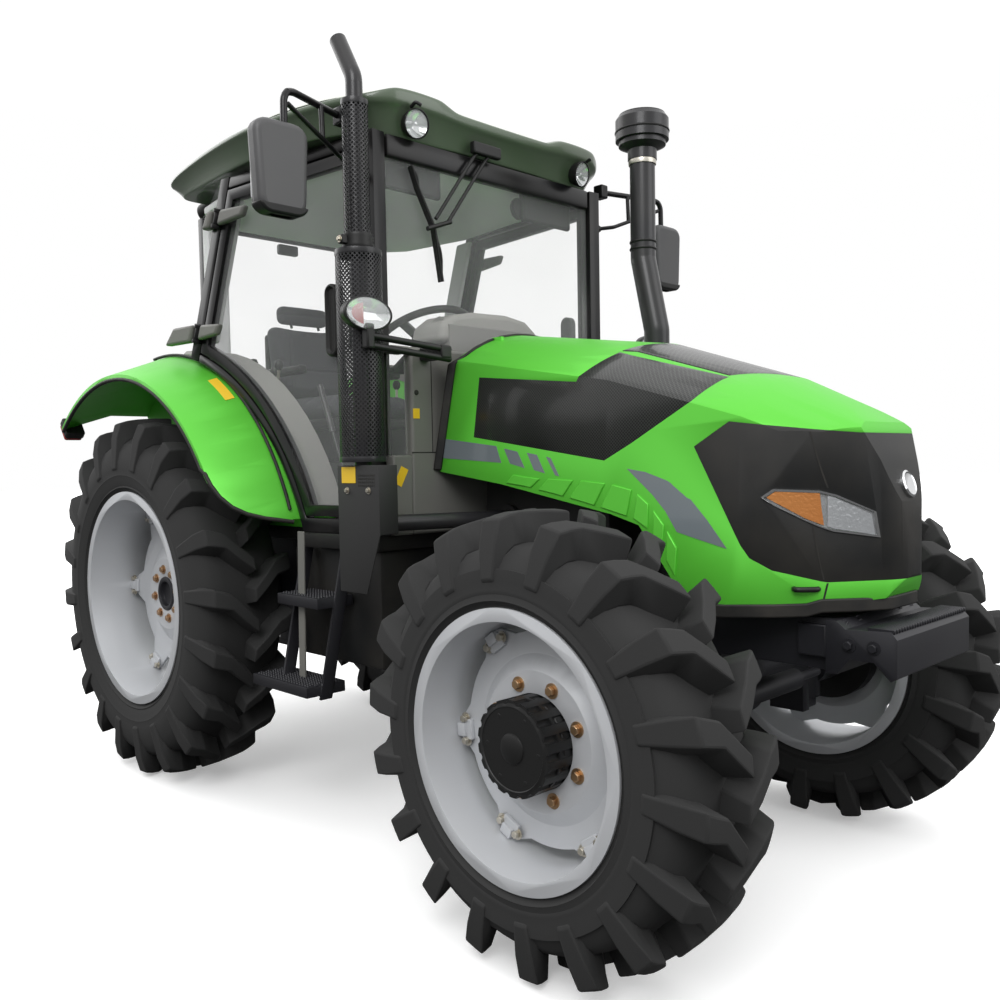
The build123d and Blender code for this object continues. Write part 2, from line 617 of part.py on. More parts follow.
def post_meets(radius, gap):
    """The height at which the door post's front edge crosses an arc about the rear axle."""
    z = B_FOOT_Z
    for _ in range(30):
        z = REAR_TYRE_R + math.sqrt(radius ** 2 - (on_post(z, gap) - WHEEL_S) ** 2)
    return z


def door_outline(inset):
    """Closed outline of the door, drawn in from the edges of its opening."""
    radius = BAND_R + inset
    top = EAVE_Z - HEADER_H - inset
    foot = SILL_Z + inset
    gap = inset * math.hypot(1, B_LEAN)
    meet = post_meets(radius, gap)
    middle_z = (meet + foot) / 2
    with BuildLine() as outline:
        Polyline((on_post(meet, gap), meet), (on_post(top, gap), top), (A_EDGE - inset, top),
                 (A_EDGE - inset, foot), (on_arc(radius, foot), foot))
        ThreePointArc((on_arc(radius, foot), foot), (on_arc(radius, middle_z), middle_z), (on_post(meet, gap), meet))
    return outline.line


with BuildPart() as door:
    with BuildSketch(SIDE_PLANE):
        with BuildLine():
            add(door_outline(DOOR_GAP))
        make_face()
        with BuildLine():
            add(door_outline(DOOR_GAP + DOOR_RIM))
        make_face(mode=Mode.SUBTRACT)
    extrude(amount=DOOR_T)
with BuildPart() as door_glass:
    with BuildSketch(SIDE_PLANE.offset((DOOR_T - GLASS_T) / 2)):
        with BuildLine():
            add(door_outline(DOOR_GAP + DOOR_RIM + SEAT))
        make_face()
    extrude(amount=GLASS_T)
# outer handle on the door's front edge
with BuildPart() as handle:
    with BuildSketch(SIDE_PLANE):
        with Locations((A_EDGE - 30, 1660)):
            Rectangle(40, 130)
    extrude(amount=-28)
# hinges: two barrels on the door turn on pins that the door post carries
HINGE_OUT = 15
HINGE_BACK = 8
HINGE_RISE = 53  # the lower hinge above the corner where the band meets the door post
UPPER_HINGE_Z = 2110
HINGE_AXIS = SIDE_PLANE.from_local_coords(Vector(B_LEAN, 1, 0)) - SIDE_PLANE.origin
BARREL = 40
knuckles = []
hinge_lugs = []
for z in (post_meets(BAND_R, 0) + HINGE_RISE, UPPER_HINGE_Z):
    foot = SIDE_PLANE.from_local_coords(Vector(on_post(z) - HINGE_BACK, z, -HINGE_OUT))
    barrel_plane = Plane(origin=foot, z_dir=HINGE_AXIS)
    with BuildPart() as barrel:
        with BuildSketch(barrel_plane):
            Circle(13)
        extrude(amount=BARREL)
        with BuildSketch(SIDE_PLANE):
            with Locations((on_post(z + BARREL / 2) + 26, z + BARREL / 2)):
                Rectangle(52, BARREL * 0.55)
        extrude(amount=-HINGE_OUT - 6)
        with BuildSketch(barrel_plane.offset(-1)):
            Circle(8 + RUNNING)
        extrude(amount=BARREL + 2, mode=Mode.SUBTRACT)
    knuckles.append(barrel.part)
    with BuildPart() as lug:
        with BuildSketch(barrel_plane.offset(-15)):
            Circle(8)
        extrude(amount=BARREL + 30)
        for level in (-15, BARREL + 1):
            with BuildSketch(barrel_plane.offset(level)):
                Circle(18)
            extrude(amount=14)
    hinge_lugs.append(lug.part)
door_solid = door.part + handle.part + knuckles
save(door_solid, "door_left")
save(mirror(door_solid, about=Plane.XZ), "door_right")
save(door_glass.part, "door_glass_left")
save(mirror(door_glass.part, about=Plane.XZ), "door_glass_right")

# posts on the left: four corners in the side plane, front and rear
with BuildPart() as a_post:
    with BuildSketch(SIDE_PLANE):
        with BuildLine():
            Polyline((A_EDGE, FLOOR_Z), (A_EDGE + POST, FLOOR_Z), (A_EDGE + POST, EAVE_Z), (A_EDGE, EAVE_Z), close=True)
        make_face()
    extrude(amount=POST)
with BuildPart() as b_post:
    with BuildSketch(SIDE_PLANE):
        with BuildLine():
            Polyline((on_post(B_FOOT_Z - 10), B_FOOT_Z - 10), (on_post(B_FOOT_Z) - POST, B_FOOT_Z + 8),
                     (on_post(EAVE_Z) - POST, EAVE_Z), (on_post(EAVE_Z), EAVE_Z), close=True)
        make_face()
    extrude(amount=POST)
    add(hinge_lugs)
with BuildPart() as c_post:
    with BuildSketch(Plane.XY.offset(FLOOR_Z + 440)):
        with Locations((ahead(C_POST_X), C_POST_Y - 20)):
            Rectangle(40, 40)
    extrude(amount=EAVE_Z - FLOOR_Z - 440)
posts = [a_post.part, b_post.part, c_post.part]
save(Compound(children=posts + [mirror(p, about=Plane.XZ) for p in posts]), "cab_posts")

# rails: the side headers, the front and rear headers, and the bands that follow the fenders
with BuildPart() as side_header:
    with BuildSketch(SIDE_PLANE):
        with BuildLine():
            Polyline((on_post(EAVE_Z - HEADER_H, 1), EAVE_Z - HEADER_H), (A_EDGE - 1, EAVE_Z - HEADER_H), (A_EDGE - 1, EAVE_Z),
                     (on_post(EAVE_Z, 1), EAVE_Z), close=True)
        make_face()
    extrude(amount=POST)
with BuildPart() as front_header:
    with BuildSketch(Plane.YZ.offset(ahead(A_POST_X - 20))):
        with Locations((0, EAVE_Z - 35)):
            Rectangle(2 * (A_POST_Y - POST - 12), 70)
    extrude(amount=40)
with BuildPart() as rear_header:
    with BuildSketch(Plane.YZ.offset(ahead(C_POST_X - 20))):
        with Locations((0, EAVE_Z - HEADER_H / 2)):
            Rectangle(2 * (C_POST_Y - 41), HEADER_H)
    extrude(amount=40)
# sill and band: from the front post's foot round the fender to the door post
with BuildPart() as band:
    with BuildSketch(SIDE_PLANE):
        top_z = post_meets(BAND_R - 1, 1)
        low_z = post_meets(FENDER_R + 9, 1)
        with BuildLine():
            Line((on_post(top_z, 1), top_z), (on_post(low_z, 1), low_z))
            middle_z = (low_z + FLOOR_Z) / 2
            ThreePointArc((on_post(low_z, 1), low_z), (on_arc(FENDER_R + 9, middle_z), middle_z),
                          (on_arc(FENDER_R + 9, FLOOR_Z), FLOOR_Z))
            Polyline((on_arc(FENDER_R + 9, FLOOR_Z), FLOOR_Z), (A_EDGE - 1, FLOOR_Z), (A_EDGE - 1, SILL_Z - 1),
                     (on_arc(BAND_R - 1, SILL_Z - 1), SILL_Z - 1))
            middle_z = (top_z + SILL_Z - 1) / 2
            ThreePointArc((on_arc(BAND_R - 1, SILL_Z - 1), SILL_Z - 1), (on_arc(BAND_R - 1, middle_z), middle_z),
                          (on_post(top_z, 1), top_z))
        make_face()
    extrude(amount=POST - 10)
save(Compound(children=[side_header.part, mirror(side_header.part, about=Plane.XZ), front_header.part,
                        rear_header.part]), "cab_headers")
save(both_sides(band.part), "cab_sills")

with BuildPart() as cab_floor:
    with BuildSketch(Plane.XY.offset(FLOOR_Z - FLOOR_T)):
        with BuildLine():
            Polyline(*[(ahead(px), py) for px, py in
                       ((-60, -FENDER_IN_Y), (940, -FENDER_IN_Y), (940, -600), (A_POST_X + 30, -565),
                        (A_POST_X + 30, 565), (940, 600), (940, FENDER_IN_Y), (-60, FENDER_IN_Y))], close=True)
        make_face()
    extrude(amount=FLOOR_T)
    # seat deck and rear wall
    with BuildSketch(Plane.XY.offset(FLOOR_Z)):
        with Locations((ahead(200), 0)):
            Rectangle(520, 2 * FENDER_IN_Y)
    extrude(amount=240)
    with BuildSketch(Plane.XY.offset(FLOOR_Z)):
        with Locations((ahead(C_POST_X), 0)):
            Rectangle(40, 2 * FENDER_IN_Y)
    extrude(amount=440)
save(cab_floor.part, "cab_floor")

COWL_HALF = 530
with BuildPart() as cowl:
    with BuildSketch(Plane.XY.offset(FLOOR_Z)):
        with Locations((ahead(A_POST_X + 46), 0)):
            Rectangle(40, 2 * COWL_HALF)
    extrude(amount=600)
    with BuildSketch(Plane.XY.offset(FLOOR_Z + 577)):
        with Locations((ahead(A_POST_X + 10), 0)):
            Rectangle(50, 960)
    extrude(amount=24)
    # hinge arms and pins for the hood
    for s in (1, -1):
        with BuildSketch(Plane.XZ.offset(-s * (HINGE_Y - 6))):
            with Locations((ahead(HINGE_X), HINGE_Z)):
                Circle(18)
            with Locations(((ahead(A_POST_X + 60) + ahead(HINGE_X)) / 2, HINGE_Z - 14)):
                Rectangle(HINGE_X - A_POST_X - 60, 24)
        extrude(amount=s * 12)
        with BuildSketch(Plane.XZ.offset(-s * (HINGE_Y - 8))):
            with Locations((ahead(HINGE_X), HINGE_Z)):
                Circle(HINGE_PIN_R)
        extrude(amount=-s * 26)
save(cowl.part, "cowl")

with BuildPart() as windscreen:
    with BuildSketch(Plane.YZ.offset(ahead(A_POST_X))):
        with Locations((0, (FLOOR_Z + 601 + EAVE_Z - 70) / 2)):
            Rectangle(2 * (A_POST_Y - POST - 12), EAVE_Z - 70 - FLOOR_Z - 601 - 2 * SEAT)
    extrude(amount=GLASS_T)
with BuildPart() as rear_window:
    with BuildSketch(Plane.YZ.offset(ahead(C_POST_X))):
        with Locations((0, (FLOOR_Z + 440 + EAVE_Z - HEADER_H) / 2)):
            Rectangle(2 * (C_POST_Y - 40 - SEAT), EAVE_Z - HEADER_H - FLOOR_Z - 440 - 2 * SEAT)
    extrude(amount=GLASS_T)
# bay window between the door post and the rear post
with BuildPart() as bay:
    for z in (B_FOOT_Z + 52, EAVE_Z - 2):
        far = SIDE_PLANE.from_local_coords(Vector(on_post(z) - POST - 6.7, 0, 0))
        with BuildSketch(Plane.XY.offset(z)):
            with BuildLine():
                Polyline((ahead(C_POST_X) + 20 + SEAT, C_POST_Y - 1), (far.X, far.Y - 4), (far.X, far.Y - 4 - 2 * GLASS_T),
                         (ahead(C_POST_X) + 20 + SEAT, C_POST_Y - 1 - 2 * GLASS_T), close=True)
            make_face()
    loft(ruled=True)
save(Compound(children=[windscreen.part, rear_window.part, bay.part, mirror(bay.part, about=Plane.XZ)]), "cab_glass")

# the roof in rings of seven corners a side, front to rear: height, then distance ahead and half width of each corner
ROOF_RINGS = (
    (EAVE_Z, ((1340, 300), (1318, 545), (1270, 650), (771, 660), (522, 626), (167, 542), (-20, 500))),
    (EAVE_Z + 75, ((1345, 300), (1325, 555), (1285, 675), (771, 685), (522, 650), (60, 565), (-70, 520))),
    (EAVE_Z + 80, ((1352, 300), (1332, 560), (1290, 700), (771, 710), (522, 676), (0, 590), (-100, 540))),
    (EAVE_Z + 115, ((1352, 300), (1332, 560), (1290, 700), (771, 710), (522, 676), (0, 590), (-100, 540))),
    (EAVE_Z + 180, ((1245, 290), (1225, 500), (1190, 620), (771, 650), (510, 615), (40, 540), (-60, 480))),
    (EAVE_Z + 262, ((900, 250), (890, 420), (860, 490), (740, 505), (510, 500), (300, 460), (260, 420))),
    (EAVE_Z + 285, ((760, 150), (750, 250), (730, 290), (700, 310), (560, 310), (430, 280), (410, 250))),
)
ROOF_LAMP_Y, ROOF_LAMP_Z, ROOF_LAMP_R = 405, EAVE_Z + 55, 48
ROOF_POD = ((300, EAVE_Z + 2), (306, EAVE_Z + 126), (520, EAVE_Z + 126), (556, EAVE_Z + 95), (545, EAVE_Z + 2))
ROOF_POD_X = 1360
with BuildPart() as cab_roof:
    for (low_z, low), (high_z, high) in zip(ROOF_RINGS, ROOF_RINGS[1:]):
        for level, ring in ((low_z, low), (high_z, high)):
            with BuildSketch(Plane.XY.offset(level)):
                with BuildLine():
                    Polyline(*[(ahead(px), py) for px, py in ring], *[(ahead(px), -py) for px, py in reversed(ring)],
                             close=True)
                make_face()
        loft(ruled=True)
    # pods that house the roof lamps
    for s in (1, -1):
        with BuildSketch(Plane.YZ.offset(ahead(1250))):
            with BuildLine():
                Polyline(*[(s * py, pz) for py, pz in ROOF_POD], close=True)
            make_face()
        extrude(amount=ROOF_POD_X - 1250)
save(cab_roof.part, "cab_roof")

# ---------------------------------------------------------------- fenders
with BuildPart() as fender:
    with BuildSketch(Plane(origin=(REAR_AXLE_X, 0, REAR_TYRE_R), x_dir=(0, 1, 0), z_dir=(1, 0, 0))):
        with BuildLine():
            Polyline((FENDER_IN_Y, FENDER_R - 100), (FENDER_IN_Y, FENDER_R), (FENDER_SHOULDER_Y, FENDER_R),
                     (FENDER_OUT_Y, FENDER_LIP_R), (FENDER_OUT_Y, FENDER_LIP_R - 20),
                     (FENDER_OUT_Y - FENDER_T, FENDER_LIP_R - 20), (FENDER_OUT_Y - FENDER_T, FENDER_LIP_R - FENDER_T),
                     (FENDER_SHOULDER_Y, FENDER_R - FENDER_T), (FENDER_IN_Y + FENDER_T, FENDER_R - FENDER_T),
                     (FENDER_IN_Y + FENDER_T, FENDER_R - 100), close=True)
        make_face()
    revolve(axis=Axis((REAR_AXLE_X, 0, REAR_TYRE_R), (0, 1, 0)), revolution_arc=360)
    with BuildSketch(Plane.XZ):
        with BuildLine():
            Polyline((REAR_AXLE_X, REAR_TYRE_R),
                     *[(REAR_AXLE_X + 2000 * math.cos(math.radians(t)), REAR_TYRE_R + 2000 * math.sin(math.radians(t)))
                       for t in (FENDER_FROM, 74, FENDER_TO)], close=True)
        make_face()
    extrude(amount=1000, both=True, mode=Mode.INTERSECT)
    # the wall between the cab and the wheel
    with BuildSketch(Plane.XZ.offset(-FENDER_IN_Y)):
        with BuildLine():
            Polyline((ahead(880), FLOOR_Z), (ahead(-560), FLOOR_Z), (ahead(-560), 1400),
                     (ahead(-300), 1630), (ahead(300), 1630), (ahead(700), 1380), close=True)
        make_face()
    extrude(amount=-FENDER_T)
save(both_sides(fender.part), "fenders")

# ---------------------------------------------------------------- inside the cab
SEAT_PROFILE = ((130, 1240.3), (130, 1400), (60, 1440), (20, 1900), (60, 1960), (110, 1955), (190, 1520), (600, 1530),
                (620, 1470), (590, 1420), (480, 1400), (480, 1240.3))
with BuildPart() as seat:
    with BuildSketch(Plane.XZ):
        with BuildLine():
            Polyline(*[(ahead(px), pz) for px, pz in SEAT_PROFILE], close=True)
        make_face()
    extrude(amount=225, both=True)
save(seat.part, "seat")

WHEEL_CENTRE = (ahead(880), 0, 1700)
COLUMN_DIR = (-0.5, 0, 0.866)
COLUMN_TOP = 150
SHAFT_STEER_R = 18
wheel_tilt = Plane(origin=WHEEL_CENTRE, x_dir=(0, 1, 0), z_dir=COLUMN_DIR)
DASH_PROFILE = ((1274, 1000), (1274, 1700), (1220, 1735), (1100, 1690), (1080, 1600),
                (1150, 1400), (1170, 1000))
with BuildPart() as dash:
    with BuildSketch(Plane.XZ):
        with BuildLine():
            Polyline(*[(ahead(px), pz) for px, pz in DASH_PROFILE], close=True)
        make_face()
    extrude(amount=210, both=True)
    # steering column, bored at its top for the shaft
    with BuildSketch(wheel_tilt.offset(-COLUMN_TOP)):
        Circle(32)
    extrude(amount=COLUMN_TOP - 560)
    with BuildSketch(wheel_tilt.offset(-COLUMN_TOP)):
        Circle(SHAFT_STEER_R + RUNNING)
    extrude(amount=-65, mode=Mode.SUBTRACT)
save(dash.part, "dash")

with BuildPart() as steering_wheel:
    with BuildSketch(Plane(origin=WHEEL_CENTRE, x_dir=COLUMN_DIR, z_dir=(0, 1, 0))):
        with Locations((0, 200)):
            Circle(14)
    revolve(axis=Axis(WHEEL_CENTRE, COLUMN_DIR))
    with BuildSketch(wheel_tilt.offset(-10)):
        for angle in (90, 210, 330):
            with Locations(Rot(0, 0, angle)):
                with Locations((100, 0)):
                    Rectangle(195, 30)
        Circle(45)
    extrude(amount=20)
    with BuildSketch(wheel_tilt.offset(-9)):
        Circle(SHAFT_STEER_R)
    extrude(amount=-(COLUMN_TOP + 45))
save(steering_wheel.part, "steering_wheel")

# ---------------------------------------------------------------- steps, tank, battery box
# middle ahead of the axle, length, middle and width across, top height
STEP_TREADS = ((1030, 240, 620, 140, 800), (985, 330, 665, 150, 520))
STEP_TREAD_T = 36
STEP_STRUTS = (910, 1142)
with BuildPart() as step:
    for tread_x, length, tread_y, width, top_z in STEP_TREADS:
        with BuildSketch(Plane.XY.offset(top_z - STEP_TREAD_T)):
            with Locations((ahead(tread_x), tread_y)):
                Rectangle(length, width)
        extrude(amount=STEP_TREAD_T)
    for strut_x in STEP_STRUTS:
        with BuildSketch(Plane.YZ.offset(ahead(strut_x))):
            with BuildLine():
                Polyline((545, FLOOR_Z - FLOOR_T), (590, FLOOR_Z - FLOOR_T), (690, 470), (645, 470), close=True)
            make_face()
        extrude(amount=12)
save(both_sides(step.part), "steps")

with BuildPart() as tank:
    with BuildSketch(Plane.XZ.offset(-250)):
        with BuildLine():
            Polyline((ahead(790), 560), (ahead(1290), 560), (ahead(1290), FLOOR_Z - FLOOR_T),
                     (ahead(790), FLOOR_Z - FLOOR_T), close=True)
        make_face()
    extrude(amount=-290)
save(tank.part, "fuel_tank")
save(mirror(tank.part, about=Plane.XZ), "battery_box")

# ---------------------------------------------------------------- stacks
PIPE_R = 25.5
with BuildPart() as exhaust:
    with BuildLine() as route:
        FilletPolyline((ahead(EXHAUST_X + 150), -ENGINE_HALF - 9, 1045), (ahead(EXHAUST_X), EXHAUST_Y, 1045),
                       (ahead(EXHAUST_X), EXHAUST_Y, EXHAUST_TIP_Z - 130), (ahead(EXHAUST_X - 75), EXHAUST_Y, EXHAUST_TIP_Z),
                       radius=70)
    with BuildSketch(Plane(origin=route.line @ 0, z_dir=route.line % 0)):
        Circle(PIPE_R)
    sweep()
    with BuildSketch(Plane.XZ.offset(ENGINE_HALF)):
        with Locations((ahead(EXHAUST_X + 148), 1045)):
            Circle(42)
    extrude(amount=16)
save(exhaust.part, "exhaust_pipe")
# guard: a wide lower sleeve and a narrow upper one, closed at both ends
GUARD_R, GUARD_NECK_R, GUARD_T, GUARD_END_T = 70, 40, 4, 6
GUARD_FOOT_Z, GUARD_STEP_Z, GUARD_TOP_Z = 1235, 1868, 2310
with BuildPart() as guard:
    with BuildSketch(Plane(origin=(ahead(EXHAUST_X), EXHAUST_Y, 0), x_dir=(1, 0, 0), z_dir=(0, -1, 0))):
        with BuildLine():
            Polyline((PIPE_R + SEAT, GUARD_FOOT_Z), (GUARD_R, GUARD_FOOT_Z), (GUARD_R, GUARD_STEP_Z),
                     (GUARD_NECK_R, GUARD_STEP_Z), (GUARD_NECK_R, GUARD_TOP_Z), (PIPE_R + SEAT, GUARD_TOP_Z),
                     (PIPE_R + SEAT, GUARD_TOP_Z - GUARD_END_T), (GUARD_NECK_R - GUARD_T, GUARD_TOP_Z - GUARD_END_T),
                     (GUARD_NECK_R - GUARD_T, GUARD_STEP_Z - GUARD_END_T), (GUARD_R - GUARD_T, GUARD_STEP_Z - GUARD_END_T),
                     (GUARD_R - GUARD_T, GUARD_FOOT_Z + GUARD_END_T), (PIPE_R + SEAT, GUARD_FOOT_Z + GUARD_END_T),
                     close=True)
        make_face()
    revolve(axis=Axis((ahead(EXHAUST_X), EXHAUST_Y, 0), (0, 0, 1)))
save(guard.part, "exhaust_guard")

# heat shield round the foot of the exhaust, carried by the cowl's edge: a plate with its two edges folded inwards
SHIELD_OUT_Y = -700
SHIELD_T = 4
SHIELD_REAR, SHIELD_FRONT, SHIELD_WEB = 1295, 1500, 1332
SHIELD_FOLD = 70
SHIELD_TOP_Z, SHIELD_TURN_Z, SHIELD_FOOT_Z = 1225, 1020, 840
with BuildPart() as shield:
    with BuildSketch(Plane.XZ.offset(-SHIELD_OUT_Y)):
        with BuildLine():
            Polyline((ahead(SHIELD_REAR), SHIELD_TOP_Z), (ahead(SHIELD_FRONT), SHIELD_TOP_Z),
                     (ahead(SHIELD_FRONT), SHIELD_TURN_Z), (ahead(SHIELD_FRONT - 70), SHIELD_FOOT_Z),
                     (ahead(SHIELD_REAR), SHIELD_FOOT_Z), close=True)
        make_face()
    extrude(amount=-SHIELD_T)
    for fold_x, low_z, in_y in ((SHIELD_REAR, SHIELD_FOOT_Z, SHIELD_OUT_Y + SHIELD_FOLD),
                                (SHIELD_FRONT - SHIELD_T, SHIELD_TURN_Z, SHIELD_OUT_Y + SHIELD_FOLD),
                                (SHIELD_WEB, FLOOR_Z, -COWL_HALF - SEAT)):
        with BuildSketch(Plane.YZ.offset(ahead(fold_x))):
            with Locations(((SHIELD_OUT_Y + in_y) / 2, (low_z + SHIELD_TOP_Z) / 2)):
                Rectangle(in_y - SHIELD_OUT_Y, SHIELD_TOP_Z - low_z)
        extrude(amount=SHIELD_T)
save(shield.part, "heat_shield")

with BuildPart() as intake:
    with BuildLine() as route:
        FilletPolyline((ahead(INTAKE_X + 57), ENGINE_HALF, 1085), (ahead(INTAKE_X + 57), INTAKE_Y, 1085),
                       (ahead(INTAKE_X + 57), INTAKE_Y, 1690), (ahead(INTAKE_X), INTAKE_Y, 1950),
                       (ahead(INTAKE_X), INTAKE_Y, 2350), radius=60)
    with BuildSketch(Plane(origin=route.line @ 0, z_dir=route.line % 0)):
        Circle(45)
    sweep()
    # pre-cleaner: a flared collar and a flat drum
    with BuildSketch(Plane(origin=(ahead(INTAKE_X), INTAKE_Y, 0), x_dir=(1, 0, 0), z_dir=(0, -1, 0))):
        with BuildLine():
            Polyline((0, 2300), (52, 2300), (52, 2335), (84, 2350), (84, 2366), (95, 2368), (95, 2440), (84, 2455),
                     (0, 2455), close=True)
        make_face()
    revolve(axis=Axis((ahead(INTAKE_X), INTAKE_Y, 0), (0, 0, 1)))
save(intake.part, "intake_stack")

# ---------------------------------------------------------------- mirrors, lamps, wiper
with BuildPart() as mirror_left:
    with BuildLine() as route:
        FilletPolyline((ahead(1250), 708, 2367), (ahead(1360), 905, 2330), (ahead(1360), 930, 2150), radius=20)
    with BuildSketch(Plane(origin=route.line @ 0, z_dir=route.line % 0)):
        Circle(10)
    sweep()
    # the foot on the roof's rim
    with BuildSketch(Plane(origin=(ahead(1250), 700.8, EAVE_Z + 97), z_dir=(10, 519, 0)).offset(SEAT)):
        Rectangle(60, 30)
    extrude(amount=14)
    with BuildSketch(Plane.YZ.offset(ahead(1325))):
        with Locations((930, 2055)):
            RectangleRounded(172, 264, 40)
    extrude(amount=70)
save(both_sides(mirror_left.part), "mirrors")

lamps = []
for s in (1, -1):
    with BuildPart() as roof_lamp:
        with BuildSketch(Plane.YZ.offset(ahead(ROOF_POD_X) + SEAT)):
            with Locations((s * ROOF_LAMP_Y, ROOF_LAMP_Z)):
                Circle(ROOF_LAMP_R)
        extrude(amount=22)
    with BuildPart() as turn_lamp:
        with BuildSketch(Plane.YZ.offset(ahead(1440))):
            with Locations((s * 690, 1672)):
                Circle(45)
        extrude(amount=50)
        with BuildSketch(Plane.XZ.offset(-s * 380)):
            with Locations((ahead(1455), 1610)):
                Circle(12)
        extrude(amount=-s * 320)
        with BuildSketch(Plane.XY.offset(1600)):
            with Locations((ahead(1455), s * 690)):
                Circle(14)
        extrude(amount=50)
        with BuildSketch(Plane.YZ.offset(ahead(A_POST_X + 66))):
            with Locations((s * 395, 1591)):
                Rectangle(30, 20)
        extrude(amount=105)
    with BuildPart() as tail_lamp:
        # seated on the fender's rear end
        turn = math.radians(FENDER_TO)
        fender_end = Plane(origin=(REAR_AXLE_X, 0, REAR_TYRE_R), x_dir=(math.cos(turn), 0, math.sin(turn)),
                           z_dir=(-math.sin(turn), 0, math.cos(turn)))
        with BuildSketch(fender_end.offset(SEAT)):
            with Locations((895, -s * 790)):
                Rectangle(90, 80)
        extrude(amount=55)
    lamps += [roof_lamp.part, turn_lamp.part, tail_lamp.part]
save(Compound(children=lamps), "lamps")

# ---------------------------------------------------------------- rear linkage
with BuildPart() as lower_links:
    for s in (1, -1):
        with BuildSketch(Plane.XZ.offset(-s * LINK_Y)):
            with Locations((ahead(LINK_X - LINK_L / 2), LINK_Z)):
                Rectangle(LINK_L, 60)
            with Locations((ahead(LINK_X), LINK_Z), (ahead(LINK_X - LINK_L), LINK_Z)):
                Circle(40)
            with Locations((ahead(LINK_X), LINK_Z), (ahead(LINK_X - ROD_AT), LINK_Z)):
                Circle(PIN_R + RUNNING, mode=Mode.SUBTRACT)
            with Locations((ahead(LINK_X - LINK_L), LINK_Z)):
                Circle(EYE_R, mode=Mode.SUBTRACT)
        extrude(amount=LINK_HALF_W, both=True)
save(lower_links.part, "lower_links")

with BuildPart() as lift_arms:
    for s in (1, -1):
        with BuildSketch(Plane.XZ.offset(-s * (LINK_Y - 60))):
            with Locations((ahead(ARM_X - ROD_AT / 2), ARM_Z)):
                Rectangle(ROD_AT, 56)
            with Locations((ahead(ARM_X), ARM_Z)):
                Circle(48)
            with Locations((ahead(ARM_X - ROD_AT), ARM_Z)):
                Circle(34)
                Circle(PIN_R + RUNNING, mode=Mode.SUBTRACT)
        extrude(amount=12, both=True)
    with BuildSketch(Plane.XZ.offset(-(LINK_Y - 60))):
        with Locations((ahead(ARM_X), ARM_Z)):
            Circle(SHAFT_R)
    extrude(amount=2 * (LINK_Y - 60))
save(lift_arms.part, "lift_arms")

lift_rods = []
for s in (1, -1):
    with BuildPart() as rod:
        foot = Vector(ahead(LINK_X - ROD_AT), s * (LINK_Y - 30), LINK_Z)
        head = Vector(ahead(ARM_X - ROD_AT), s * (LINK_Y - 30), ARM_Z)
        with BuildSketch(Plane(origin=foot, z_dir=head - foot)):
            Circle(15)
        extrude(amount=(head - foot).length)
        for end, reach in ((foot, s * 48), (head, -s * 48)):
            with BuildSketch(Plane(origin=end, z_dir=(0, 1, 0))):
                Circle(PIN_R)
            extrude(amount=reach)
    lift_rods.append(rod.part)
save(Compound(children=lift_rods), "lift_rods")

with BuildPart() as drawbar:
    with BuildSketch(Plane.XY.offset(400)):
        with Locations((ahead(-150), 0)):
            Rectangle(900, 80)
        with Locations((ahead(-560), 0)):
            Circle(16, mode=Mode.SUBTRACT)
    extrude(amount=32)
    with BuildSketch(Plane.XY.offset(432)):
        with Locations((ahead(-70), 0)):
            Rectangle(120, 100)
    extrude(amount=88)
save(drawbar.part, "drawbar")
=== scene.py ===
"""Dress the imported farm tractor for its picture: rubber, paint, glass, trim and small fittings.

Metres. +X forward, +Y left, +Z up, on the ground. The sizes that a user may change are in the
property groups; the panel in the 3D view's sidebar lists the operators in the order they run.
"""

import contextlib
import json
import math

import bmesh
import bpy
from mathutils import Matrix, Vector

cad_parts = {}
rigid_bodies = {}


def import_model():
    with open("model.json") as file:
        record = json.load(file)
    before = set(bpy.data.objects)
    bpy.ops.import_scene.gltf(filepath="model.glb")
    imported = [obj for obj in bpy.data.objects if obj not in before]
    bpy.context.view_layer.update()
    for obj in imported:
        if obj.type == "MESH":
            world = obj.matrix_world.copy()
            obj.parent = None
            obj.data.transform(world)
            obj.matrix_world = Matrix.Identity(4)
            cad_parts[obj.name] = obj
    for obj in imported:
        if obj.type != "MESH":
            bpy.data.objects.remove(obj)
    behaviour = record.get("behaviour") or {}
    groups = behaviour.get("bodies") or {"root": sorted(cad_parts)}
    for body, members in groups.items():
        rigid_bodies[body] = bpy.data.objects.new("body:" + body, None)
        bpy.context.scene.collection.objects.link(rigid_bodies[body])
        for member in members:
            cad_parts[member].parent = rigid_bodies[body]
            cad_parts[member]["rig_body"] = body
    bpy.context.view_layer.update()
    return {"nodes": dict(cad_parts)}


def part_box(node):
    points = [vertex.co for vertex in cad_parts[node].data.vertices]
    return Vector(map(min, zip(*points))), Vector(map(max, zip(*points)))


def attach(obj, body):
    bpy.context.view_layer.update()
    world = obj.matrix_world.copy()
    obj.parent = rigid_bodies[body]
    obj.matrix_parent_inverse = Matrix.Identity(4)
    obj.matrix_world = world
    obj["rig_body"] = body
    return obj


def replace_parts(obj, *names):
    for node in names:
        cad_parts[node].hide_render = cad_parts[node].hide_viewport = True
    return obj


bl_info = {
    "name": "Farm tractor dressing",
    "version": (1, 0, 0),
    "blender": (4, 5, 0),
    "location": "View3D > Sidebar > Tractor",
    "description": "Adds tyres, glazing trim, lamps, fasteners and finishes to a packed farm tractor",
    "category": "Object",
}

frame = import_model()
NODES = frame["nodes"]
AXLE_X = (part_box("rim_rear_left")[0].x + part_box("rim_rear_left")[1].x) / 2
SIDES = (("left", 1), ("right", -1))
FULL_TURN = 2 * math.pi
X, Y, Z = Vector((1, 0, 0)), Vector((0, 1, 0)), Vector((0, 0, 1))


# ------------------------------------------------------------------ modelling helpers
def clear_selection():
    bpy.ops.object.select_all(action="DESELECT")


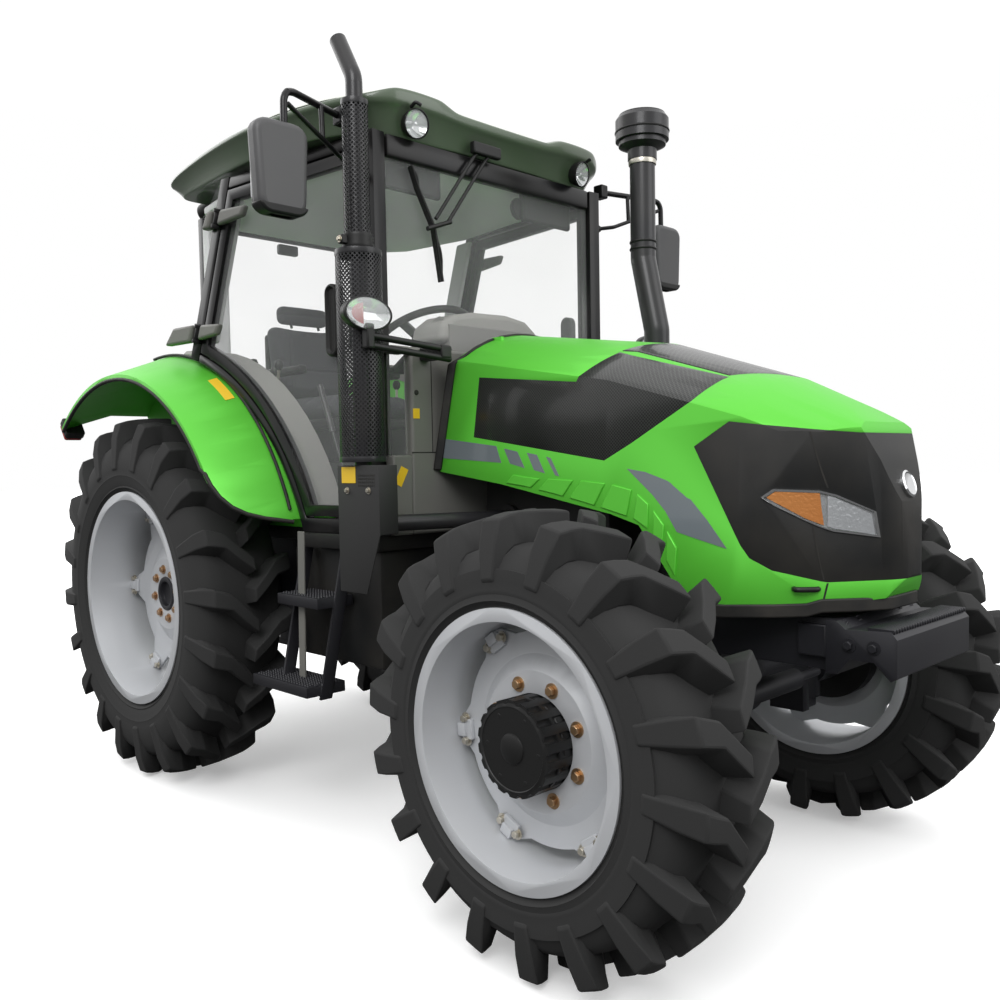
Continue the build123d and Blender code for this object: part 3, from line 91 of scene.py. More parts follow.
def choose(*pieces):
    """Select these pieces and make the first one active."""
    clear_selection()
    for piece in pieces:
        piece.select_set(True)
    bpy.context.view_layer.objects.active = pieces[0]


@contextlib.contextmanager
def editing(piece):
    """Edit mode on one piece, with all of it selected."""
    choose(piece)
    bpy.ops.object.mode_set(mode="EDIT")
    bpy.ops.mesh.select_all(action="SELECT")
    yield bmesh.from_edit_mesh(piece.data)
    bpy.ops.object.mode_set(mode="OBJECT")


def pick(piece, mode, test):
    """Select, in edit mode, the verts, edges or faces that pass the test."""
    bpy.ops.mesh.select_mode(type=mode)
    bpy.ops.mesh.select_all(action="DESELECT")
    shape = bmesh.from_edit_mesh(piece.data)
    items = {"VERT": shape.verts, "EDGE": shape.edges, "FACE": shape.faces}[mode]
    for item in items:
        if test(item):
            item.select_set(True)
    shape.select_flush_mode()
    bmesh.update_edit_mesh(piece.data)



def called(name):
    """Name the piece that was just added."""
    piece = bpy.context.object
    piece.name = piece.data.name = name
    return piece


def modify(piece, kind, **settings):
    """Add one modifier and apply it."""
    choose(piece)
    modifier = piece.modifiers.new(kind.title(), kind)
    for key, value in settings.items():
        setattr(modifier, key, value)
    bpy.ops.object.modifier_apply(modifier=modifier.name)


def bevelled(piece, width, segments=2, degrees=30):
    """Round the edges that are sharper than an angle."""
    modify(piece, "BEVEL", width=width, segments=segments, limit_method="ANGLE", angle_limit=math.radians(degrees))

def thickened(piece, thickness):
    """Give a sheet a wall, half of it on either side."""
    modify(piece, "SOLIDIFY", thickness=thickness, offset=0.0)

def shaded(piece, degrees):
    """Shade a piece smooth, apart from the edges that are sharper than an angle."""
    choose(piece)
    bpy.ops.object.shade_smooth_by_angle(angle=math.radians(degrees))
    return piece

def settle(piece, smooth=35, merge=0.00005, recalculate=True):
    """Put the piece's place into its mesh, close its seams and shade it."""
    choose(piece)
    bpy.ops.object.transform_apply(location=True, rotation=True, scale=True)
    with editing(piece):
        bpy.ops.mesh.remove_doubles(threshold=merge)
        if recalculate:
            bpy.ops.mesh.normals_make_consistent(inside=False)
    return shaded(piece, smooth)


def joined(name, pieces):
    """Several pieces as one."""
    choose(*pieces)
    if len(pieces) > 1:
        bpy.ops.object.join()
    return called(name)


def copied(piece, name, matrix=Matrix.Identity(4)):
    """A free copy with its own mesh, moved by the matrix; a mirror image keeps its faces outwards."""
    choose(piece)
    bpy.ops.object.duplicate()
    twin = called(name)
    twin.parent = None
    twin.matrix_world = Matrix.Identity(4)
    for key in [key for key in twin.keys() if key.startswith("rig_")]:
        del twin[key]
    twin.data.transform(matrix)
    if matrix.determinant() < 0:
        twin.data.flip_normals()
    return twin


def opposite(piece, name):
    """The mirror image on the other side of the tractor."""
    return copied(piece, name, Matrix.Scale(-1, 4, Y))


def outline(name, points, filled=True):
    """A flat polygon or a polyline through points, from a circle with as many vertices."""
    bpy.ops.mesh.primitive_circle_add(vertices=len(points), fill_type="NGON" if filled else "NOTHING")
    piece = called(name)
    for vertex, point in zip(piece.data.vertices, points):
        vertex.co = point
    return piece


def open_line(name, points):
    """A run of edges from the first point to the last."""
    if len(points) == 2:
        points = [points[0], (Vector(points[0]) + Vector(points[1])) / 2, points[1]]
    piece = outline(name, points, filled=False)
    last = len(points) - 1
    with editing(piece):
        pick(piece, "EDGE", lambda edge: {v.index for v in edge.verts} == {0, last})
        bpy.ops.mesh.delete(type="EDGE")
    return piece


def slab(name, points, push, bevel=0.0, segments=2):
    """A flat outline pushed out to a thickness, with its edges rounded."""
    piece = outline(name, points)
    with editing(piece):
        bpy.ops.mesh.extrude_region_move(TRANSFORM_OT_translate={"value": Vector(push)})
    settle(piece)
    if bevel:
        bevelled(piece, bevel, segments, 30)
        shaded(piece, 40)
    return piece


def turned(name, profile, centre, axis, steps=48, closed=True, smooth=35):
    """A profile spun a full turn about an axis."""
    piece = outline(name, profile, filled=False) if closed else open_line(name, profile)
    with editing(piece):
        bpy.ops.mesh.spin(steps=steps, angle=FULL_TURN, center=Vector(centre), axis=Vector(axis))
    return settle(piece, smooth=smooth)


def pipe(name, points, radius, bend=0.0, sides=3, bend_segments=5):
    """A round tube along a route whose corners are rounded by the bend."""
    piece = open_line(name, points)
    if bend and len(points) > 2:
        with editing(piece):
            pick(piece, "VERT", lambda v: len(v.link_edges) == 2)
            bpy.ops.mesh.bevel(offset=bend, segments=bend_segments, affect="VERTICES")
    choose(piece)
    bpy.ops.object.convert(target="CURVE")
    route = bpy.context.object
    route.data.bevel_depth = radius
    route.data.bevel_resolution = sides
    route.data.use_fill_caps = True
    bpy.ops.object.convert(target="MESH")
    piece = called(name)
    return settle(piece, smooth=40)


def block(name, low, high, bevel=0.004, segments=2):
    """A rounded box between two corners."""
    low, high = Vector(low), Vector(high)
    bpy.ops.mesh.primitive_cube_add(size=1, location=(low + high) / 2, scale=high - low)
    piece = called(name)
    settle(piece)
    bevelled(piece, bevel, segments)
    return shaded(piece, 40)


def at(ahead, across, up):
    """A place so far ahead of the rear axle, to the left of the middle and above the ground."""
    return Vector((AXLE_X + ahead, across, up))


def facing(place, direction, roll=0.0):
    """The matrix that stands a piece made on the ground at a place, its top towards a direction."""
    stand = Vector(direction).to_track_quat("Z", "Y").to_matrix().to_4x4()
    return Matrix.Translation(place) @ stand @ Matrix.Rotation(roll, 4, "Z")


def scattered(name, template, places):
    """Copies of a template at many places, in one mesh."""
    return joined(name, [copied(template, name, place) for place in places])


def discard(*pieces):
    """Take templates away once their copies are made."""
    for piece in pieces:
        bpy.data.objects.remove(piece)


def bolt_shape(across=0.011, height=0.009):
    """A hexagon head on a washer, standing at the origin."""
    thick = 0.25 * across
    bpy.ops.mesh.primitive_cylinder_add(vertices=24, radius=1.5 * across, depth=thick, location=(0, 0, thick / 2))
    washer = settle(called("bolt_washer"), smooth=40)
    bpy.ops.mesh.primitive_cylinder_add(vertices=6, radius=across, depth=height, location=(0, 0, thick + height / 2))
    head = settle(called("bolt_head"), smooth=20)
    modify(head, "BEVEL", width=0.12 * across, segments=2)
    return joined("bolt_template", [washer, head])


def touch(coat, start, direction):
    """Where a straight line from a place first meets a surface, and the way the surface faces there."""
    bpy.context.view_layer.update()
    hit, place, normal, _ = coat.ray_cast(Vector(start), Vector(direction))
    if not hit:
        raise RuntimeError(f"nothing of {coat.name} lies along {tuple(direction)} from {tuple(start)}")
    return place, normal


def wrapped(piece, coat, axis, lift, sides=(True, True)):
    """Lay a flat piece on a surface, along one axis."""
    settings = {f"use_project_{axis}": True, "use_positive_direction": sides[0], "use_negative_direction": sides[1]}
    modify(piece, "SHRINKWRAP", wrap_method="PROJECT", target=coat, offset=lift, **settings)
    return piece


def decal(name, points, side, coat, thickness=0.0009, lift=0.0006, cuts=3):
    """A thin sheet cut to a side outline and laid on one side of a surface."""
    piece = outline(name, [at(ahead, side * HOOD_OUT, up) for ahead, up in points])
    with editing(piece):
        bpy.ops.mesh.quads_convert_to_tris()
        bpy.ops.mesh.subdivide(number_cuts=cuts)
    wrapped(piece, coat, "y", lift, sides=(side < 0, side > 0))
    thickened(piece, thickness)
    return settle(piece, smooth=30, merge=0.00001)


def skin(name, nodes):
    """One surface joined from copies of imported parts, on which other pieces are laid."""
    return joined(name, [copied(NODES[node], f"{name}_{node}") for node in nodes])


def skinned(name, rows):
    """A sheet of quads through rows of places."""
    bpy.ops.mesh.primitive_grid_add(x_subdivisions=len(rows[0]) - 1, y_subdivisions=len(rows) - 1, size=2)
    sheet = called(name)
    for vertex, place in zip(sheet.data.vertices, (place for row in rows for place in row), strict=True):
        vertex.co = place
    return sheet


def lathe(name, profile, place, direction, steps=40, smooth=35):
    """A turned piece whose profile gives radius and height, standing at a place along a direction."""
    closed = profile[0] == profile[-1]
    points = [Vector((radius, 0, height)) for radius, height in (profile[:-1] if closed else profile)]
    piece = turned(name, points, (0, 0, 0), Z, steps=steps, closed=closed, smooth=smooth)
    piece.data.transform(facing(place, direction))
    return piece


def softened(node, width, segments=2, flat=1.0, angle=28):
    """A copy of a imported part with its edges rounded, which stands for the part."""
    piece = copied(NODES[node], f"{node}_soft")
    with editing(piece):
        bpy.ops.mesh.remove_doubles(threshold=0.00002)
        bpy.ops.mesh.dissolve_limited(angle_limit=math.radians(flat))
    if piece.data.has_custom_normals:
        bpy.ops.mesh.customdata_custom_splitnormals_clear()
    bevelled(piece, width, segments, angle)
    shaded(piece, 35)
    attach(piece, NODES[node]["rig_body"])
    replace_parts(piece, node)
    return piece


def dressed(piece, body, finish):
    """Give a piece its finish and the body it rides on."""
    piece.data.materials.clear()
    piece.data.materials.append(bpy.data.materials[finish])
    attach(piece, body)
    return piece


def fitted(name, parts, finish, body="chassis"):
    """Several parts as one dressed piece."""
    return dressed(joined(name, parts), body, finish)

# ------------------------------------------------------------------ finishes
def link(tree, source, target):
    tree.links.new(source, target)


def new_group(name, inputs, outputs):
    """A shader node group with named sockets, and its input and output nodes."""
    tree = bpy.data.node_groups.new(name, "ShaderNodeTree")
    kinds = {"color": "NodeSocketColor", "float": "NodeSocketFloat", "vector": "NodeSocketVector"}
    for label, kind, value in inputs:
        socket = tree.interface.new_socket(label, in_out="INPUT", socket_type=kinds[kind])
        socket.default_value = value
    for label, kind in outputs:
        tree.interface.new_socket(label, in_out="OUTPUT", socket_type=kinds[kind])
    return tree, tree.nodes.new("NodeGroupInput").outputs, tree.nodes.new("NodeGroupOutput").inputs


def maths(tree, operation, a, b=0.0, clamp=False):
    """A Math node on two values or sockets."""
    node = tree.nodes.new("ShaderNodeMath")
    node.operation = operation
    node.use_clamp = clamp
    for socket, value in zip(node.inputs, (a, b)):
        if isinstance(value, bpy.types.NodeSocket):
            link(tree, value, socket)
        else:
            socket.default_value = value
    return node.outputs[0]


def spread(tree, value, low, high, to_low=0.0, to_high=1.0):
    """A clamped Map Range node."""
    node = tree.nodes.new("ShaderNodeMapRange")
    link(tree, value, node.inputs["Value"])
    for label, number in (("From Min", low), ("From Max", high), ("To Min", to_low), ("To Max", to_high)):
        node.inputs[label].default_value = number
    return node.outputs["Result"]


def noise(tree, scale, detail=3.0, where=None):
    """Noise over the object's own coordinates."""
    node = tree.nodes.new("ShaderNodeTexNoise")
    if where is None:
        where = tree.nodes.new("ShaderNodeTexCoord").outputs["Object"]
    link(tree, where, node.inputs["Vector"])
    if isinstance(scale, bpy.types.NodeSocket):
        link(tree, scale, node.inputs["Scale"])
    else:
        node.inputs["Scale"].default_value = scale
    node.inputs["Detail"].default_value = detail
    return node.outputs["Fac"]


def blended(tree, factor, a, b):
    """A colour Mix node."""
    node = tree.nodes.new("ShaderNodeMix")
    node.data_type = "RGBA"
    for label, value in (("Factor", factor), ("A", a), ("B", b)):
        socket = next(s for s in node.inputs
                      if s.name == label and (s.type == "RGBA" or label == "Factor" and s.type == "VALUE"))
        if isinstance(value, bpy.types.NodeSocket):
            link(tree, value, socket)
        else:
            socket.default_value = value
    return next(s for s in node.outputs if s.type == "RGBA")


def weathering_group():
    """Blotches of dust, more of them low down, over a colour that itself varies a little."""
    tree, given, out = new_group(
        "Weathering",
        (("Color", "color", (0.5, 0.5, 0.5, 1)), ("Shade", "color", (0.4, 0.4, 0.4, 1)),
         ("Dust Color", "color", (0.3, 0.26, 0.2, 1)), ("Dust", "float", 0.2), ("Patch Scale", "float", 4.0),
         ("Roughness", "float", 0.5), ("Grain Scale", "float", 300.0)),
        (("Color", "color"), ("Roughness", "float"), ("Height", "float")))
    where = tree.nodes.new("ShaderNodeTexCoord").outputs["Object"]
    patches = spread(tree, noise(tree, given["Patch Scale"], 6.0, where), 0.38, 0.72)
    axes = tree.nodes.new("ShaderNodeSeparateXYZ")
    link(tree, where, axes.inputs[0])
    low_down = spread(tree, axes.outputs["Z"], 0.0, 1.7, 1.0, 0.35)
    dust = maths(tree, "MULTIPLY", maths(tree, "MULTIPLY", patches, low_down), given["Dust"], clamp=True)
    tint = blended(tree, spread(tree, noise(tree, 1.7, 2.0, where), 0.35, 0.65), given["Color"], given["Shade"])
    link(tree, blended(tree, dust, tint, given["Dust Color"]), out["Color"])
    link(tree, maths(tree, "ADD", given["Roughness"], maths(tree, "MULTIPLY", dust, 0.5), clamp=True), out["Roughness"])
    link(tree, noise(tree, given["Grain Scale"], 2.0, where), out["Height"])
    return tree


def perforation_group():
    """Round holes in staggered rows, wrapped along two axes: 1 on the metal and 0 in a hole."""
    tree, given, out = new_group("Perforation",
                                 (("Vector", "vector", (0, 0, 0)), ("Pitch", "float", 0.01), ("Hole", "float", 0.6)),
                                 (("Mask", "float"),))
    axes = tree.nodes.new("ShaderNodeSeparateXYZ")
    link(tree, given["Vector"], axes.inputs[0])
    masks = []
    for shift in (0.0, 0.5):
        steps = []
        for label in ("X", "Y"):
            cell = maths(tree, "ADD", maths(tree, "DIVIDE", axes.outputs[label], given["Pitch"]), shift)
            steps.append(maths(tree, "ABSOLUTE", maths(tree, "SUBTRACT", maths(tree, "FRACT", cell), 0.5)))
        squared = maths(tree, "ADD", maths(tree, "POWER", steps[0], 2.0), maths(tree, "POWER", steps[1], 2.0))
        masks.append(maths(tree, "GREATER_THAN", squared,
                           maths(tree, "POWER", maths(tree, "MULTIPLY", given["Hole"], 0.5), 2.0)))
    link(tree, maths(tree, "MULTIPLY", masks[0], masks[1]), out["Mask"])
    return tree


DUST = (0.30, 0.26, 0.20, 1)
# name, colour, shade, dust, roughness, metallic, coat, specular, patch scale, grain scale, grain depth
FINISHES = (
    ("body_green", (0.215, 0.70, 0.105), (0.190, 0.64, 0.090), 0.06, 0.24, 0.0, 1.0, 0.5, 3.0, 900, 0.00002),
    ("roof_paint", (0.080, 0.115, 0.070), (0.068, 0.100, 0.060), 0.06, 0.34, 0.0, 0.5, 0.5, 3.0, 500, 0.00005),
    # the roof top's pale colour is painted sky reflection, as seen at a grazing angle on the crown
    ("roof_top", (0.60, 0.62, 0.57), (0.55, 0.57, 0.52), 0.08, 0.30, 0.0, 0.3, 0.5, 3.0, 500, 0.00005),
    ("chassis_black", (0.0050, 0.0052, 0.0050), (0.0035, 0.0035, 0.0035), 0.04, 0.42, 0.0, 0.0, 0.10, 6.0, 260, 0.0003),
    ("engine_paint", (0.0050, 0.0055, 0.0052), (0.0035, 0.0038, 0.0038), 0.06, 0.50, 0.0, 0.0, 0.12, 7.0, 200, 0.0004),
    ("moulded_black", (0.010, 0.0105, 0.011), (0.008, 0.0085, 0.009), 0.08, 0.48, 0.0, 0.0, 0.30, 5.0, 700, 0.00025),
    ("moulded_grey", (0.165, 0.165, 0.152), (0.145, 0.145, 0.134), 0.12, 0.50, 0.0, 0.0, 0.40, 5.0, 800, 0.00015),
    ("moulded_grey_dark", (0.070, 0.070, 0.073), (0.062, 0.062, 0.065), 0.08, 0.42, 0.0, 0.0, 0.45, 5.0, 900, 0.0003),
    ("lining_grey", (0.30, 0.295, 0.28), (0.27, 0.265, 0.25), 0.05, 0.70, 0.0, 0.0, 0.40, 6.0, 1200, 0.0003),
    ("lining_pale", (0.80, 0.80, 0.81), (0.76, 0.76, 0.77), 0.03, 0.80, 0.0, 0.0, 0.30, 6.0, 1200, 0.0003),
    ("post_black", (0.008, 0.008, 0.009), (0.006, 0.006, 0.007), 0.06, 0.28, 0.0, 0.0, 0.30, 5.0, 300, 0.00003),
    ("gloss_black", (0.006, 0.006, 0.0065), (0.0045, 0.0045, 0.005), 0.04, 0.13, 0.0, 0.2, 0.35, 5.0, 300, 0.00002),
    ("stack_black", (0.030, 0.030, 0.033), (0.022, 0.022, 0.024), 0.08, 0.32, 0.3, 0.1, 0.40, 6.0, 400, 0.0001),
    ("rim_silver", (0.52, 0.525, 0.52), (0.47, 0.475, 0.47), 0.08, 0.32, 0.35, 0.3, 0.50, 4.0, 900, 0.00002),
    ("rubber_trim", (0.010, 0.010, 0.010), (0.013, 0.013, 0.013), 0.12, 0.55, 0.0, 0.0, 0.30, 9.0, 500, 0.0001),
    ("seat_cloth", (0.090, 0.092, 0.096), (0.070, 0.072, 0.076), 0.05, 0.85, 0.0, 0.0, 0.30, 9.0, 1500, 0.0004),
    ("zinc", (0.60, 0.58, 0.52), (0.50, 0.46, 0.38), 0.20, 0.30, 0.9, 0.0, 0.50, 30.0, 900, 0.00003),
    ("brass", (0.56, 0.37, 0.20), (0.46, 0.28, 0.16), 0.15, 0.30, 0.9, 0.0, 0.50, 30.0, 900, 0.00003),
    ("label_yellow", (0.80, 0.52, 0.02), (0.78, 0.50, 0.02), 0.05, 0.45, 0.0, 0.0, 0.50, 9.0, 900, 0.00001),
    ("decal_grey", (0.140, 0.165, 0.180), (0.130, 0.155, 0.170), 0.06, 0.35, 0.0, 0.5, 0.50, 5.0, 900, 0.00001),
    ("reflector", (0.85, 0.86, 0.87), (0.80, 0.81, 0.82), 0.0, 0.12, 1.0, 0.0, 0.50, 9.0, 500, 0.0),
    ("chrome", (0.80, 0.81, 0.82), (0.72, 0.73, 0.74), 0.05, 0.10, 1.0, 0.0, 0.50, 9.0, 500, 0.0),
    ("amber_lens", (0.62, 0.25, 0.07), (0.50, 0.17, 0.04), 0.0, 0.12, 0.3, 0.9, 0.50, 60.0, 140, 0.0010),
    ("clear_lens", (0.72, 0.74, 0.75), (0.50, 0.52, 0.54), 0.0, 0.10, 0.6, 0.9, 0.50, 40.0, 120, 0.0010),
    ("red_lens", (0.42, 0.016, 0.010), (0.33, 0.010, 0.008), 0.0, 0.15, 0.0, 0.8, 0.50, 9.0, 160, 0.0006),
)


PAINT = {row[0]: row[1] for row in FINISHES}

def make_finish(name, colour, shade, dust, rough, metal, coat, specular, patch, grain, depth):
    """A Principled material whose colour, gloss and fine relief come from the weathering group."""
    material = bpy.data.materials.new(name)
    material.use_nodes = True
    tree = material.node_tree
    shader = tree.nodes["Principled BSDF"]
    weather = tree.nodes.new("ShaderNodeGroup")
    weather.node_tree = bpy.data.node_groups["Weathering"]
    for label, value in (("Color", (*colour, 1)), ("Shade", (*shade, 1)), ("Dust Color", DUST), ("Dust", dust),
                         ("Patch Scale", patch), ("Roughness", rough), ("Grain Scale", grain)):
        weather.inputs[label].default_value = value
    link(tree, weather.outputs["Color"], shader.inputs["Base Color"])
    link(tree, weather.outputs["Roughness"], shader.inputs["Roughness"])
    shader.inputs["Metallic"].default_value = metal
    shader.inputs["Coat Weight"].default_value = coat
    shader.inputs["Coat Roughness"].default_value = 0.08
    shader.inputs["Specular IOR Level"].default_value = specular
    if depth:
        bump = tree.nodes.new("ShaderNodeBump")
        bump.inputs["Distance"].default_value = depth
        bump.inputs["Strength"].default_value = 1.0
        link(tree, weather.outputs["Height"], bump.inputs["Height"])
        link(tree, bump.outputs["Normal"], shader.inputs["Normal"])
    return material


def make_rubber():
    """Tyre rubber: dusty where the wear attribute is high, glossy dark elsewhere."""
    material = make_finish("tyre_rubber", (0.0075, 0.0082, 0.0090), (0.0100, 0.0105, 0.0112), 0.12, 0.28, 0.0, 0.25, 0.55,
                           7.0, 180, 0.0005)
    tree = material.node_tree
    shader = tree.nodes["Principled BSDF"]
    wear = tree.nodes.new("ShaderNodeAttribute")
    wear.attribute_name = "wear"
    patch = spread(tree, noise(tree, 11.0, 8.0), 0.35, 0.62, 0.25, 1.0)
    amount = maths(tree, "MULTIPLY", wear.outputs["Fac"], patch, clamp=True)
    colour = shader.inputs["Base Color"].links[0].from_socket
    rough = shader.inputs["Roughness"].links[0].from_socket
    link(tree, blended(tree, amount, colour, (0.030, 0.029, 0.026, 1)), shader.inputs["Base Color"])
    link(tree, maths(tree, "ADD", rough, maths(tree, "MULTIPLY", amount, 0.4), clamp=True), shader.inputs["Roughness"])


def make_glass(name, tint, rough=0.015, alpha=0.14, dirt=0.04):
    """Thin glazing: a clear pane with a mirror-like surface; its pale tint at a low alpha is a painted haze of
    reflected sky.
    """
    material = bpy.data.materials.new(name)
    material.use_nodes = True
    tree = material.node_tree
    shader = tree.nodes["Principled BSDF"]
    # the pale tint is painted reflection: a haze of sky laid over the pane
    shader.inputs["Base Color"].default_value = (*tint, 1)
    shader.inputs["Roughness"].default_value = rough
    shader.inputs["IOR"].default_value = 1.45
    link(tree, spread(tree, noise(tree, 2.5, 6.0), 0.45, 0.8, alpha, alpha + dirt), shader.inputs["Alpha"])
    return material


def make_grid():
    """Black sheet metal with staggered round holes, which are not cut: they are painted near-black, a painted shade of
    the dark space behind the sheet.
    """
    material = make_finish("hood_grid", (0.034, 0.038, 0.034), (0.026, 0.029, 0.026), 0.05, 0.30, 0.0, 0.3, 0.5, 5.0, 400,
                           0.0)
    tree = material.node_tree
    shader = tree.nodes["Principled BSDF"]
    axes = tree.nodes.new("ShaderNodeSeparateXYZ")
    link(tree, tree.nodes.new("ShaderNodeTexCoord").outputs["Object"], axes.inputs[0])
    flat = tree.nodes.new("ShaderNodeCombineXYZ")
    link(tree, axes.outputs["X"], flat.inputs["X"])
    link(tree, axes.outputs["Z"], flat.inputs["Y"])
    holes = tree.nodes.new("ShaderNodeGroup")
    holes.node_tree = bpy.data.node_groups["Perforation"]
    holes.inputs["Pitch"].default_value = 0.0095
    holes.inputs["Hole"].default_value = 0.62
    link(tree, flat.outputs[0], holes.inputs["Vector"])
    colour = shader.inputs["Base Color"].links[0].from_socket
    # the holes' near-black colour is painted shade of the space behind the sheet
    link(tree, blended(tree, holes.outputs["Mask"], (0.003, 0.003, 0.003, 1), colour), shader.inputs["Base Color"])
    bump = tree.nodes.new("ShaderNodeBump")
    bump.inputs["Distance"].default_value = 0.0012
    link(tree, holes.outputs["Mask"], bump.inputs["Height"])
    link(tree, bump.outputs["Normal"], shader.inputs["Normal"])


# CAD node name starts with, finish
NODE_FINISHES = (("engine_block", "engine_paint"), ("gearbox", "chassis_black"), ("rear_axle", "chassis_black"),
                 ("front_frame", "chassis_black"), ("front_axle", "chassis_black"), ("radiator", "moulded_black"),
                 ("front_bracket", "chassis_black"), ("heat_shield", "engine_paint"), ("cowl", "moulded_grey"),
                 ("fuel_tank", "moulded_black"), ("battery_box", "moulded_black"), ("cab_floor", "moulded_black"),
                 ("cab_posts", "post_black"), ("cab_headers", "post_black"), ("cab_sills", "post_black"),
                 ("cab_roof", "roof_paint"), ("cab_glass", "window_glass"), ("seat", "seat_cloth"), ("dash", "moulded_grey"),
                 ("fenders", "body_green"), ("steps", "chassis_black"), ("exhaust", "stack_black"), ("intake", "stack_black"),
                 ("mirrors", "moulded_black"), ("lamps", "moulded_black"), ("headlamps", "lamp_glass"),
                 ("hood_mesh", "hood_grid"), ("drawbar", "chassis_black"), ("hood_shell", "body_green"),
                 ("grille", "moulded_black"), ("door_glass", "window_glass"), ("door_", "post_black"),
                 ("steering_wheel", "moulded_black"), ("knuckle", "chassis_black"), ("tie_rod", "chassis_black"),
                 ("rim", "rim_silver"), ("hub", "gloss_black"), ("tyre", "tyre_rubber"), ("lower_links", "chassis_black"),
                 ("lift", "chassis_black"),)


class TractorSizes(bpy.types.PropertyGroup):
    """Sizes of the pieces that the dressing adds."""

    lug_depth: bpy.props.FloatProperty(name="Lug depth", description="Height of a tread lug above the carcass",
                                       default=0.072, min=0.02, unit="LENGTH")
    front_lugs: bpy.props.IntProperty(name="Front lugs", description="Lugs on each half of a front tyre", default=18)
    rear_lugs: bpy.props.IntProperty(name="Rear lugs", description="Lugs on each half of a rear tyre", default=20)


class TractorColours(bpy.types.PropertyGroup):
    """Colours of the painted and moulded bodywork."""

    body_green: bpy.props.FloatVectorProperty(name="Body", description="Paint of the hood and the fenders",
                                              default=PAINT["body_green"], min=0, max=1, subtype="COLOR")
    roof_paint: bpy.props.FloatVectorProperty(name="Roof edge", description="Colour of the roof's fascia",
                                              default=PAINT["roof_paint"], min=0, max=1, subtype="COLOR")
    # the crown's pale colour is painted sky reflection
    roof_top: bpy.props.FloatVectorProperty(name="Roof top", description="Colour of the roof's crown",
                                            default=PAINT["roof_top"], min=0, max=1, subtype="COLOR")
    rim_silver: bpy.props.FloatVectorProperty(name="Rims", description="Paint of the four rims",
                                              default=PAINT["rim_silver"], min=0, max=1, subtype="COLOR")

class TRACTOR_OT_finishes(bpy.types.Operator):
    """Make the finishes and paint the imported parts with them"""

    bl_idname = "tractor.finishes"
    bl_label = "Finishes"

    def execute(self, context):
        weathering_group()
        perforation_group()
        colours = context.scene.tractor_colours
        for name, colour, *rest in FINISHES:
            make_finish(name, getattr(colours, name, colour), *rest)
        make_rubber()
        # the near-white tints of both glasses are a painted haze of reflected sky
        make_glass("window_glass", (0.95, 0.97, 0.97), alpha=0.05, dirt=0.02)
        make_glass("lamp_glass", (0.85, 0.87, 0.88), alpha=0.20)
        make_grid()
        for name, node in NODES.items():
            finish = next(f for start, f in NODE_FINISHES if name.startswith(start))
            node.data.materials.clear()
            node.data.materials.append(bpy.data.materials[finish])
        return {"FINISHED"}


# ------------------------------------------------------------------ tyres
def wheel_facts(axle):
    """Middle and sizes of the left-hand wheel on this axle, read from its rim and tyre."""
    low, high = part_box(f"tyre_{axle}_left")
    rim_low, rim_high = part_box(f"rim_{axle}_left")
    return {"middle": (low + high) / 2, "tip": (high.z - low.z) / 2, "half": (high.y - low.y) / 2,
            "rim": (rim_high.z - rim_low.z) / 2, "rim_half": (rim_high.y - rim_low.y) / 2}


def lug_shape(name, wheel, depth):
    """One tread lug at the top of the tyre: a kneed bar from the middle to low on the side wall."""
    middle, tip, half = wheel["middle"], wheel["tip"], wheel["half"]
    inner, knee, shoulder = -0.006, 0.50 * half, 0.84 * half
    lead = (knee - inner) * math.tan(math.radians(44))
    tail = lead + (shoulder - knee) * math.tan(math.radians(18))
    side_r = wheel["rim"] + 0.40 * (tip - depth - wheel["rim"])
    floor = tip - depth
    # across, crown height, run back from the centre end, half width at crown;
    # across and height of the foot, half width there
    stations = (
        (inner, tip, 0.0, 0.024, inner, floor - 0.006, 0.038),
        (0.5 * knee, tip - 0.001, 0.5 * lead, 0.026, 0.5 * knee, floor - 0.006, 0.041),
        (knee, tip - 0.004, lead, 0.028, knee, floor - 0.008, 0.043),
        (0.68 * half, tip - 0.009, 0.5 * (lead + tail), 0.030, 0.68 * half, floor - 0.014, 0.045),
        (shoulder, tip - 0.018, tail, 0.032, 0.79 * half, floor - 0.030, 0.045),
        (0.93 * half, tip - 0.075, tail + 0.006, 0.032, 0.85 * half, floor - 0.055, 0.043),
        (0.985 * half, side_r + 0.004, tail + 0.012, 0.028, 0.89 * half, side_r - 0.012, 0.036))
    bpy.ops.mesh.primitive_grid_add(x_subdivisions=2, y_subdivisions=len(stations) - 1, size=2)
    lug = called(name)
    with editing(lug):
        bpy.ops.mesh.extrude_region_move(TRANSFORM_OT_translate={"value": (0, 0, 1)})
    for vertex in lug.data.vertices:
        row = stations[round((vertex.co.y + 1) / 2 * (len(stations) - 1))]
        across, radius, run, width = row[:4] if vertex.co.z > 0.5 else (*row[4:6], row[2], row[6])
        angle = (tail / 2 - run + round(vertex.co.x) * width) / tip
        vertex.co = middle + Vector((radius * math.sin(angle), across, radius * math.cos(angle)))
    settle(lug, smooth=30)
    bevelled(lug, 0.005, 2, 25)
    return lug


def ringed(piece, count, centre, first=0.0):
    """Repeat a piece all round a wheel, in one mesh, from a first angle about the axle."""
    turn = Matrix.Translation(centre) @ Matrix.Rotation(first, 4, "Y") @ Matrix.Translation(-centre)
    piece.data.transform(turn)
    with editing(piece):
        bpy.ops.mesh.spin(steps=count - 1, dupli=True, angle=FULL_TURN * (count - 1) / count, center=centre, axis=Y)
    return piece


